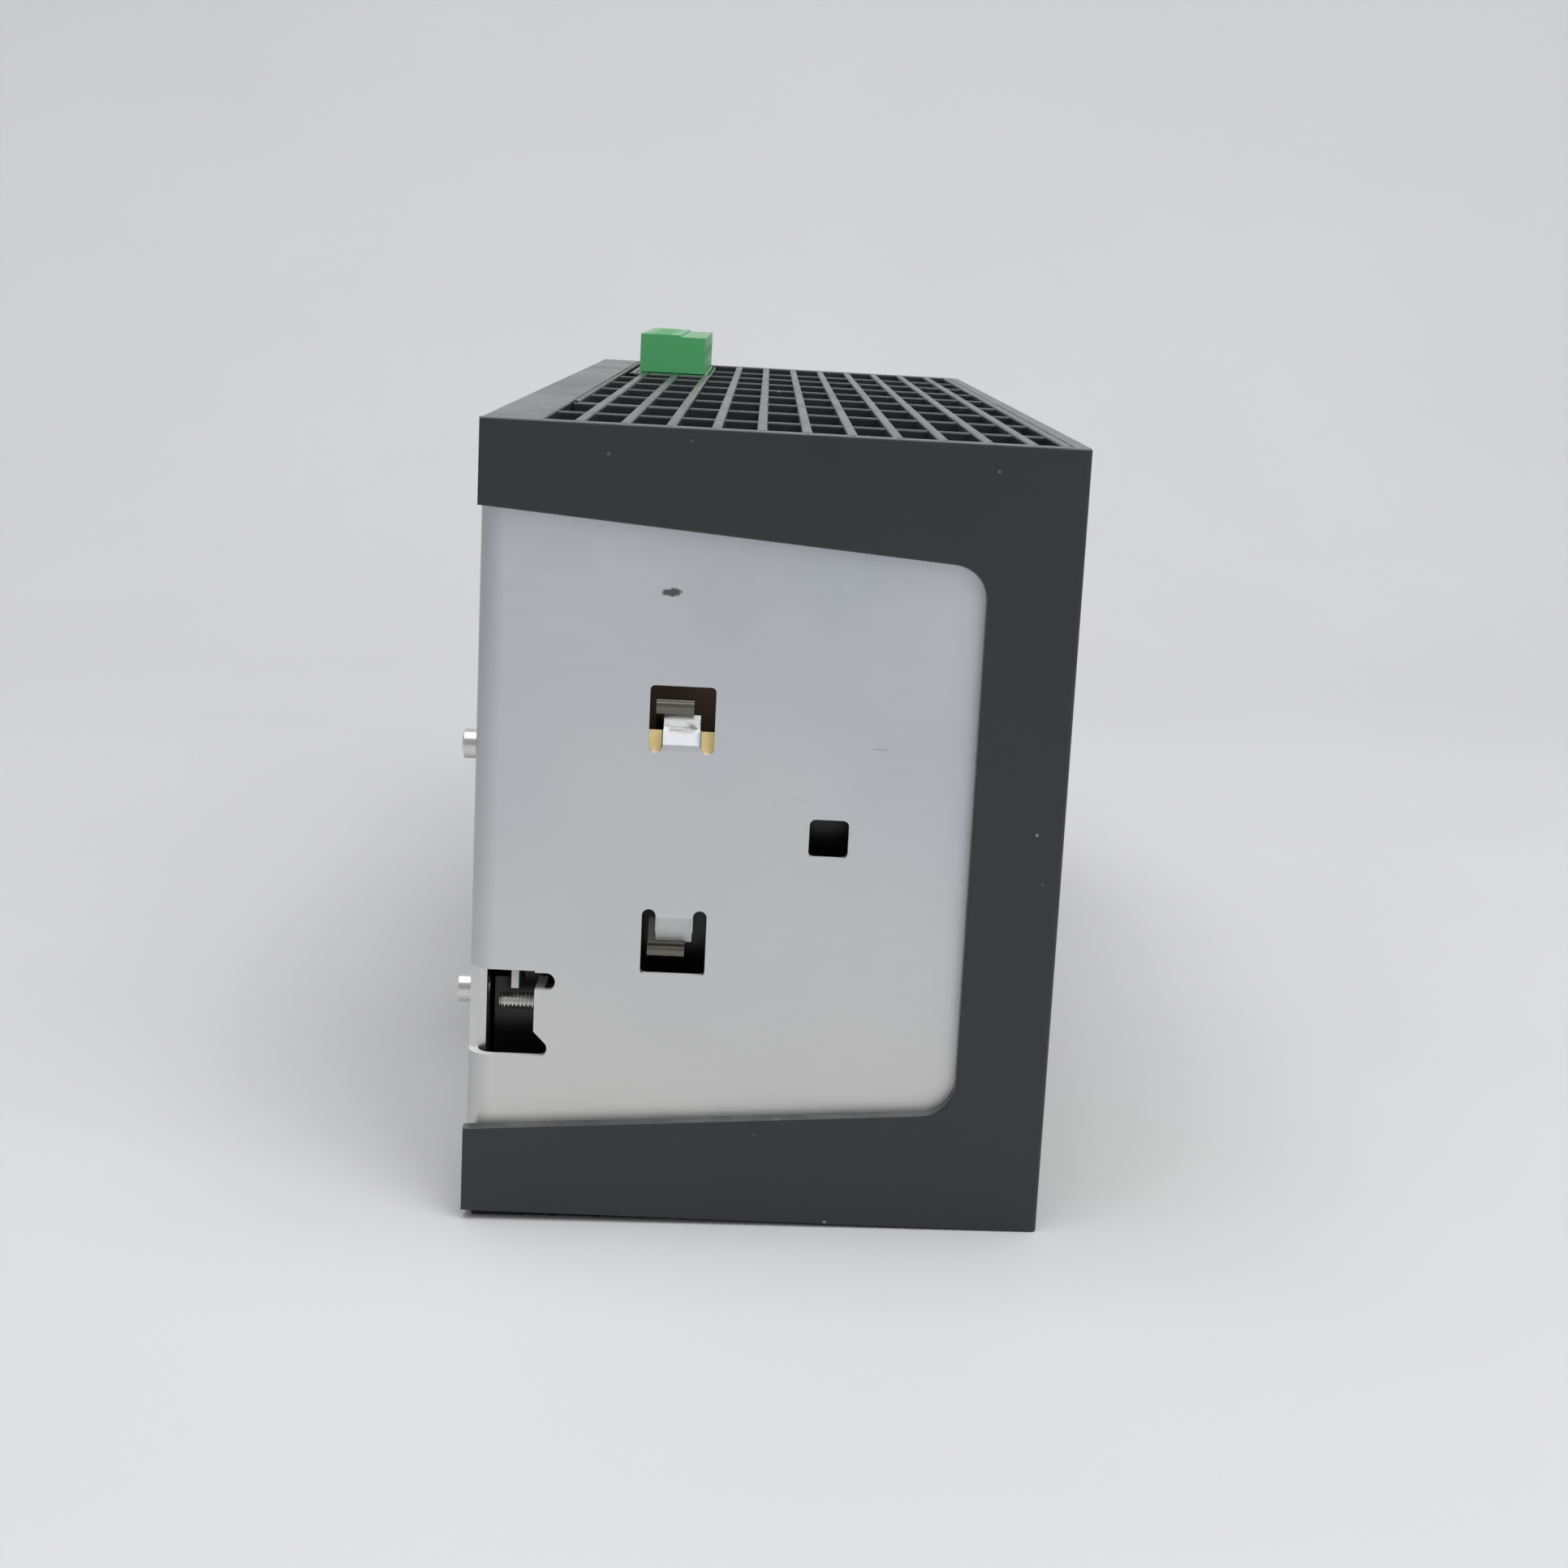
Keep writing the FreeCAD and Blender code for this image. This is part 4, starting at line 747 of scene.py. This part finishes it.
class POWERSUPPLY_OT_grilles(bpy.types.Operator):
    """Lay the strips and cross bars of the vented mouldings"""
    bl_idname = "powersupply.grilles"
    bl_label = "Grilles"

    def execute(self, context):
        case = context.scene.powersupply_case
        wide, gap = case.strip_width, 0.15 * MM
        low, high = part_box("top_grille")
        insert_low, insert_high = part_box("plug_insert")
        main = Grille(case, low.z, high.z)
        seam, end = insert_low.x, main.rear - insert_low.y
        rim = main.rear - insert_high.y
        front = main.rear - low.y
        main.bar(-main.side, main.side, 0.0, rim - gap)
        main.bar(-main.side, main.side, main.depth - case.front_rim, front)
        for u in main.strips:
            main.strip(u, -main.side, main.side if u > end else seam - gap)
        for n, x in enumerate(main.rows):
            drop = 0.0 if n in (0, case.rows) else case.bar_drop
            main.bar(x, x + wide, rim - 2 * gap if x < seam else end + gap, front, inside_drop=drop)
        main.bar(seam - gap - wide, seam - gap, rim, end, inside_drop=case.bar_drop)
        main.out.piece("top_grille_moulding", "charcoal", stands_for=["top_grille"])

        insert = Grille(case, insert_low.z, insert_high.z)
        plug_low, plug_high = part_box("output_plug")
        clear, lap, wall, sunk = 0.9 * MM, 1.0 * MM, 1.5 * MM, 0.3 * MM
        left, right = plug_low.x - clear, plug_high.x - lap
        near, far = insert.rear - plug_high.y - clear, insert.rear - plug_low.y + clear
        insert.bar(seam, insert.side, rim, case.band)
        for u in insert.strips[insert.strips < end]:
            insert.strip(u, seam, left)
        for n, x in enumerate(insert.rows):
            if seam - wide < x < left - wide:
                insert.bar(x, x + wide, rim, end, inside_drop=case.bar_drop)
        insert.bar(right, insert.side, rim, end)
        insert.bar(left - wall, left, near - wall, end, inside_drop=sunk)
        insert.bar(left - wall, right, near - wall, near, inside_drop=sunk)
        insert.bar(left - wall, right, far, end, inside_drop=sunk)
        insert.out.piece("plug_insert_moulding", "charcoal", stands_for=["plug_insert"])

        low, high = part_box("bottom_grille")
        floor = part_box("side_frame_left")[0].z
        rise = floor - low.z
        run = front - BASE_STEP
        below = Grille(case, low.z, high.z, lambda u: low.z + (rise - 0.1 * MM) * (u - BASE_STEP) / run)
        below.bar(-below.side, below.side, BASE_STEP, case.band)
        below.bar(-below.side, below.side, below.depth - case.front_rim, front)
        for u in below.strips:
            below.strip(u, -below.side, below.side)
        for x in below.rows:
            below.bar(x, x + wide, case.band - 1 * MM, front, inside_drop=case.bar_drop)
        lip = Grille(case, floor, high.z)
        lip.out = below.out
        lip.bar(-lip.side, lip.side, 0.0, 2 * BASE_STEP)
        below.out.piece("bottom_grille_moulding", "charcoal", stands_for=["bottom_grille"])
        return {"FINISHED"}


# ---- screws and stud ----

def driven_head(centre, axis, radius, height, recess, dome=0.35, slotted=False, sectors=96):
    """A screw head: a polar grid whose height falls off towards the rim and drops where the recess is.

    The rise is height less dome * (r / radius)^4, with a quarter round at the rim. The recess is where the smaller of
    |x| and |y| (a cross) or |y| alone (a slot) is under its half width and the larger is under its reach.
    """
    axis, side, other = square_to(axis)
    r = radius * np.concatenate([np.linspace(0.01, 0.9, 40), 0.9 + 0.1 * np.sin(np.linspace(0.2, 1.57, 6))])
    a = angles(sectors)
    x, y = r[:, None] * np.cos(a), r[:, None] * np.sin(a)
    rise = height - dome * radius * 0.5 * (r[:, None] / radius) ** 4 + 0 * x
    thin, long_side = np.minimum(abs(x), abs(y)), np.maximum(abs(x), abs(y))
    if slotted:
        thin, long_side = abs(y), abs(x)
    half, reach = 0.16 * radius, (1.2 if slotted else 0.62) * radius
    cut = (1 - smooth_step(thin, 0.75 * half, 1.1 * half)) * (1 - smooth_step(long_side, 0.9 * reach, reach))
    rise = rise - recess * cut
    top = centre + x[..., None] * side + y[..., None] * other + rise[..., None] * axis
    wall = []
    for level in (0.62, 0.3, 0.08, 0.0):
        ring = np.stack([radius * np.cos(a), radius * np.sin(a), np.full(sectors, level * (height - recess))], -1)
        wall.append(centre + ring[:, :1] * side + ring[:, 1:2] * other + ring[:, 2:] * axis)
    return np.concatenate([top, np.stack(wall)])


def corners(node):
    """The low and high corners of a node's box, as arrays."""
    return [np.array(corner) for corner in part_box(node)]


def spots(node, inset, counts, axes):
    """A regular grid of places inside a node's box: counts along the two axes, inset from its ends."""
    low, high = corners(node)
    runs = [np.linspace(low[axis] + inset, high[axis] - inset, count) for axis, count in zip(axes, counts)]
    places = np.tile((low + high) / 2, (counts[0] * counts[1], 1))
    places[:, axes[0]], places[:, axes[1]] = [run.ravel() for run in np.meshgrid(*runs)]
    return places, low, high


class POWERSUPPLY_OT_fasteners(bpy.types.Operator):
    """Form the screw heads and the thread of the earth stud"""
    bl_idname = "powersupply.fasteners"
    bl_label = "Fasteners"

    def execute(self, context):
        plug = context.scene.powersupply_plug
        head_height = 2.4 * MM
        seats = {"rear_screws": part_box("chassis")[1].y, "bracket_screws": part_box("bracket_screws")[1].y - head_height}
        for node, radius, shank, recess, counts in (("rear_screws", 2.4 * MM, 1.45 * MM, 0.9 * MM, (1, 2)),
                                                    ("bracket_screws", 3.6 * MM, 1.9 * MM, 1.1 * MM, (2, 2))):
            heads, seat = Surfaces(), seats[node]
            places, low, high = spots(node, radius, counts, (0, 2))
            for place in places:
                base = np.array([place[0], seat, place[2]])
                heads.add(driven_head(base, (0, 1, 0), radius, high[1] - seat, recess))
                heads.add(turned([(shank, low[1] - seat), (shank, 0.1 * MM)], 32, base, (0, 1, 0)))
            heads.piece(node[:-1] + "_heads", "zinc_steel", stands_for=[node])

        radius = plug.screw_radius
        for node, face, count in (("output_plug_screws", (0, -1, 0), 7), ("input_plug_screws", (0, 0, -1), 4)):
            heads = Surfaces()
            places, low, high = spots(node, radius, (count, 1), (0, 1))
            along = 1 if face[1] else 2
            for place in places:
                base = np.array([place[0], (low[1] + high[1]) / 2, (low[2] + high[2]) / 2])
                base[along] = high[along]
                heads.add(driven_head(base, face, radius, high[along] - low[along], 0.8 * MM, dome=0.1, slotted=True))
            heads.piece(node + "_turned", "terminal_steel", body=node.replace("_screws", ""),
                        stands_for=[node])

        low, high = corners("earth_stud")
        pitch, crest = 0.65 * MM, (high[0] - low[0]) / 2
        along = np.linspace(0, high[1] - low[1], int((high[1] - low[1]) / pitch * 14))
        a = angles(48)
        turn = (along[:, None] / pitch - a[None] / (2 * np.pi)) % 1.0
        tip = smooth_step(high[1] - low[1] - along, 0.0, 0.5 * MM)[:, None]
        r = crest - 0.34 * MM * (1 - np.clip(1.6 - abs(turn * 4 - 2), 0, 1) * tip)
        grid = np.stack([(low[0] + high[0]) / 2 + r * np.cos(a), low[1] + along[:, None] + 0 * r,
                         (low[2] + high[2]) / 2 + r * np.sin(a)], -1)
        Surfaces().add(grid).piece("earth_stud_thread", "zinc_steel", stands_for=["earth_stud"], sharp=60.0)
        return {"FINISHED"}


# ---- coils, springs and cans ----

def spring_path(centre, length_along, radius, wire, turns, samples=28):
    """A helix up Z whose first and last turns lie flat: the rise per turn is one wire there and even between."""
    turn = np.linspace(0, turns, turns * samples)
    top = length_along - wire
    rise = np.interp(turn, [0, 1, turns - 1, turns], [0, 1.03 * wire, top - 1.03 * wire, top])
    a = 2 * np.pi * turn
    return np.stack([centre[0] + radius * np.cos(a), centre[1] + radius * np.sin(a), centre[2] + wire / 2 + rise], 1)


def toroid_path(node, middle, half_wide, half_long, turns, start, end, rng, samples=36):
    """Wire wound round a ring: the angle round the ring grows evenly, while the wire runs round a squarish loop.

    The loop's radial and axial offsets are half_wide and half_long times sign(cos)|cos|^0.4 and sign(sin)|sin|^0.4.
    A little seeded unevenness shifts each turn. Both ends run straight to the board.
    """
    low, high = corners(node)
    core = (low + high) / 2
    turn = np.linspace(0, turns, turns * samples)
    shake = np.interp(turn, np.arange(turns + 1), rng.normal(0, 0.05, turns + 1))
    a = np.radians(start + (end - start) * (turn + shake) / turns)
    loop = 2 * np.pi * turn + np.pi / 2
    radial = half_wide * np.sign(np.cos(loop)) * abs(np.cos(loop)) ** 0.4
    axial = half_long * np.sign(np.sin(loop)) * abs(np.sin(loop)) ** 0.4
    spoke = np.stack([np.cos(a), 0 * a, -np.sin(a)], 1)
    path = core + (middle + radial)[:, None] * spoke
    path[:, 1] += axial
    centre = core + middle * spoke
    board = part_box("main_board")[0].y
    tails = [np.array([path[0], path[0]]), np.array([path[-1], path[-1]])]
    for tail in tails:
        tail[1, 1] = board
    path = np.concatenate([tails[0][::-1][:1], path, tails[1][1:]])
    centre = np.concatenate([centre[:1], centre, centre[-1:]])
    return path, path - centre + np.array([0, 1e-6, 0])


def can_profile(radius, tall):
    """A can's sleeve from its base: a crimp groove near the base, then straight, then rolled over the top edge."""
    groove = np.linspace(0, np.pi, 9)
    at = 5.0 * MM
    a = np.linspace(0, np.pi / 2, 6)
    lower = [(radius * 0.9, 0.0), (radius, 0.2 * MM)]
    crimp = [(radius - 0.5 * MM * np.sin(g), at - 1.0 * MM * np.cos(g)) for g in groove]
    roll = [(radius - 1.0 * MM * (1 - np.cos(b)), tall - 1.0 * MM * (1 - np.sin(b))) for b in a]
    return lower + crimp + roll + [(radius * 0.80, tall), (radius * 0.79, tall - 0.25 * MM)]


def can_end(centre, radius, recess):
    """The bare end disc: a polar grid with three scored lines from the middle and a faint dish towards the rim."""
    sectors = 96
    r = np.linspace(0.01, 0.82, 30)[:, None] * radius
    a = (angles(sectors))[None]
    across = np.min([abs(r * np.sin(a - turn)) + np.where(np.cos(a - turn) < 0, radius, 0)
                     for turn in (np.pi / 2, np.pi * 7 / 6, np.pi * 11 / 6)], axis=0)
    score = (1 - smooth_step(across, 0.02 * radius, 0.05 * radius)) * (1 - smooth_step(r, 0.6 * radius, 0.65 * radius))
    depth = recess + 0.25 * MM * score + 0.15 * MM * (1 - (r / radius) ** 2)
    return centre + np.stack(np.broadcast_arrays(r * np.cos(a), depth, r * np.sin(a)), -1)


class POWERSUPPLY_OT_springs(bpy.types.Operator):
    """Wind the latch springs"""
    bl_idname = "powersupply.springs"
    bl_label = "Springs"

    def execute(self, context):
        wound = context.scene.powersupply_wound
        for side in ("left", "right"):
            low, high = corners("latch_spring_" + side)
            middle = (low + high) / 2
            radius = (high[0] - low[0] - wound.spring_wire) / 2
            path = spring_path((middle[0], middle[1], low[2]), high[2] - low[2], radius, wound.spring_wire,
                               wound.spring_turns)
            spring = Surfaces().add(carried(circle(wound.spring_wire / 2, 12), path)).piece(
                "latch_spring_coil_" + side, "spring_steel", body=None,
                stands_for=["latch_spring_" + side])
            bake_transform(spring)
        return {"FINISHED"}


class POWERSUPPLY_OT_windings(bpy.types.Operator):
    """Wind the chokes and tape the transformer's coil"""
    bl_idname = "powersupply.windings"
    bl_label = "Windings"

    def execute(self, context):
        wound = context.scene.powersupply_wound
        rng = np.random.default_rng(SEED)
        for core, node, wire, sectors, turns in (
                ("output_choke_core", "output_choke_winding", wound.choke_wire, [(0, 320)], 18),
                ("filter_choke_core", "filter_choke_windings", wound.filter_wire, [(20, 160), (200, 340)], 9)):
            out = Surfaces()
            for start, end in sectors:
                path, outward = toroid_path(core, middle=13.25 * MM, half_wide=4.95 * MM + wire / 2,
                                            half_long=8.0 * MM + wire / 2, turns=turns, start=start, end=end,
                                            rng=rng)
                out.add(carried(circle(wire / 2, 12), path, up=outward))
            out.piece(node + "_wire", "enamel_copper", stands_for=[node])

        low, high = corners("transformer_winding")
        size, middle = high - low, (low + high) / 2
        levels = np.linspace(0, 1, 60)
        swell = 0.5 * MM * (np.sqrt(np.sin(np.pi * np.clip(levels, 0.02, 0.98))) - 1)
        laps = 0.06 * MM * smooth_step(np.cos(levels * np.pi * 8), 0.6, 0.9)
        rings = [rounded_outline(size[0] + 2 * grow, size[1] + 2 * grow, 4.0 * MM, 6)
                 for grow in swell - laps]
        grid = np.stack([np.column_stack([middle[0] + ring[:, 0], middle[1] + ring[:, 1],
                                          np.full(len(ring), low[2] + level * size[2])])
                         for ring, level in zip(rings, levels)])
        Surfaces().add(grid).piece("transformer_coil_tape", "tape_yellow", stands_for=["transformer_winding"])
        return {"FINISHED"}


class POWERSUPPLY_OT_capacitors(bpy.types.Operator):
    """Turn the electrolytic cans"""
    bl_idname = "powersupply.capacitors"
    bl_label = "Capacitors"

    def execute(self, context):
        for node, radius, counts in (("bulk_capacitors", 16.0 * MM, (2, 2)), ("output_capacitors", 8.0 * MM, (4, 2))):
            places, low, high = spots(node, radius, counts, (0, 2))
            sleeves, ends = Surfaces(), Surfaces()
            tall = high[1] - low[1]
            for place in places:
                base = np.array([place[0], high[1], place[2]])
                sleeves.add(turned(can_profile(radius, tall), 72, base, (0, -1, 0)))
                disc = can_end(np.array([place[0], low[1], place[2]]), radius, 0.12 * MM)
                back_disc = disc[-1:] + np.array([0, 0.6 * MM, 0])
                ends.add(np.concatenate([disc, back_disc]))
            sleeves.piece(node + "_sleeves", "capacitor_sleeve", stands_for=[node])
            ends.piece(node + "_ends", "can_end", slot="sink_aluminium")
        return {"FINISHED"}


class POWERSUPPLY_OT_board_parts(bpy.types.Operator):
    """Place the small parts on the boards"""
    bl_idname = "powersupply.board_parts"
    bl_label = "Board Parts"

    def execute(self, context):
        rng = np.random.default_rng(SEED)
        chips, resistors = Surfaces(), Surfaces()
        low, high = corners("front_board")
        columns, rows = 9, 8
        for n, m in np.ndindex(columns, rows):
            x = low[0] + (n + 0.5) / columns * (high[0] - low[0]) + rng.uniform(-1, 1) * MM
            z = low[2] + (m + 0.5) / rows * (high[2] - low[2]) + rng.uniform(-1.5, 1.5) * MM
            y = high[1]
            if (n + m) % 3:
                half = np.array([rng.uniform(0.8, 1.6), 0.0, rng.uniform(0.5, 0.9)]) * MM
                tall, out = 0.6 * MM, resistors
            else:
                half = np.array([rng.uniform(2.0, 3.5), 0.0, rng.uniform(1.8, 2.6)]) * MM
                tall, out = 1.4 * MM, chips
            centre = np.array([x, y, z])
            out.add(rounded_block(centre - half, centre + half + np.array([0, tall, 0]), 0.15 * MM, 0.1 * MM, axis=1))
        chips.piece("front_board_chips", "package_black")
        resistors.piece("front_board_resistors", "ceramic_tan", slot="card_tan")
        return {"FINISHED"}


# ---- panel and registration ----

STEPS = (POWERSUPPLY_OT_stage, POWERSUPPLY_OT_finishes, POWERSUPPLY_OT_grilles, POWERSUPPLY_OT_fasteners,
         POWERSUPPLY_OT_springs, POWERSUPPLY_OT_windings, POWERSUPPLY_OT_capacitors, POWERSUPPLY_OT_board_parts)
SETTINGS = (("powersupply_case", CaseSettings), ("powersupply_plug", PlugSettings),
            ("powersupply_wound", WoundSettings), ("powersupply_stage", StageSettings))


class POWERSUPPLY_PT_panel(bpy.types.Panel):
    """The steps that build the power supply, with their settings"""
    bl_idname = "POWERSUPPLY_PT_panel"
    bl_label = "Power Supply"
    bl_space_type = "VIEW_3D"
    bl_region_type = "UI"
    bl_category = "Power Supply"

    def draw(self, context):
        for step in STEPS:
            self.layout.operator(step.bl_idname)
        for name, group in SETTINGS:
            section = self.layout.box()
            for setting in group.__annotations__:
                section.prop(getattr(context.scene, name), setting)


def register():
    for name, group in SETTINGS:
        bpy.utils.register_class(group)
        setattr(bpy.types.Scene, name, PointerProperty(type=group))
    for step in STEPS + (POWERSUPPLY_PT_panel,):
        bpy.utils.register_class(step)


def unregister():
    for step in (POWERSUPPLY_PT_panel,) + STEPS[::-1]:
        bpy.utils.unregister_class(step)
    for name, group in SETTINGS[::-1]:
        delattr(bpy.types.Scene, name)
        bpy.utils.unregister_class(group)


def main():
    register()
    for step in STEPS:
        family, step_name = step.bl_idname.split(".")
        getattr(getattr(bpy.ops, family), step_name)()
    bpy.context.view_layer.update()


if __name__ == "__main__":
    main()
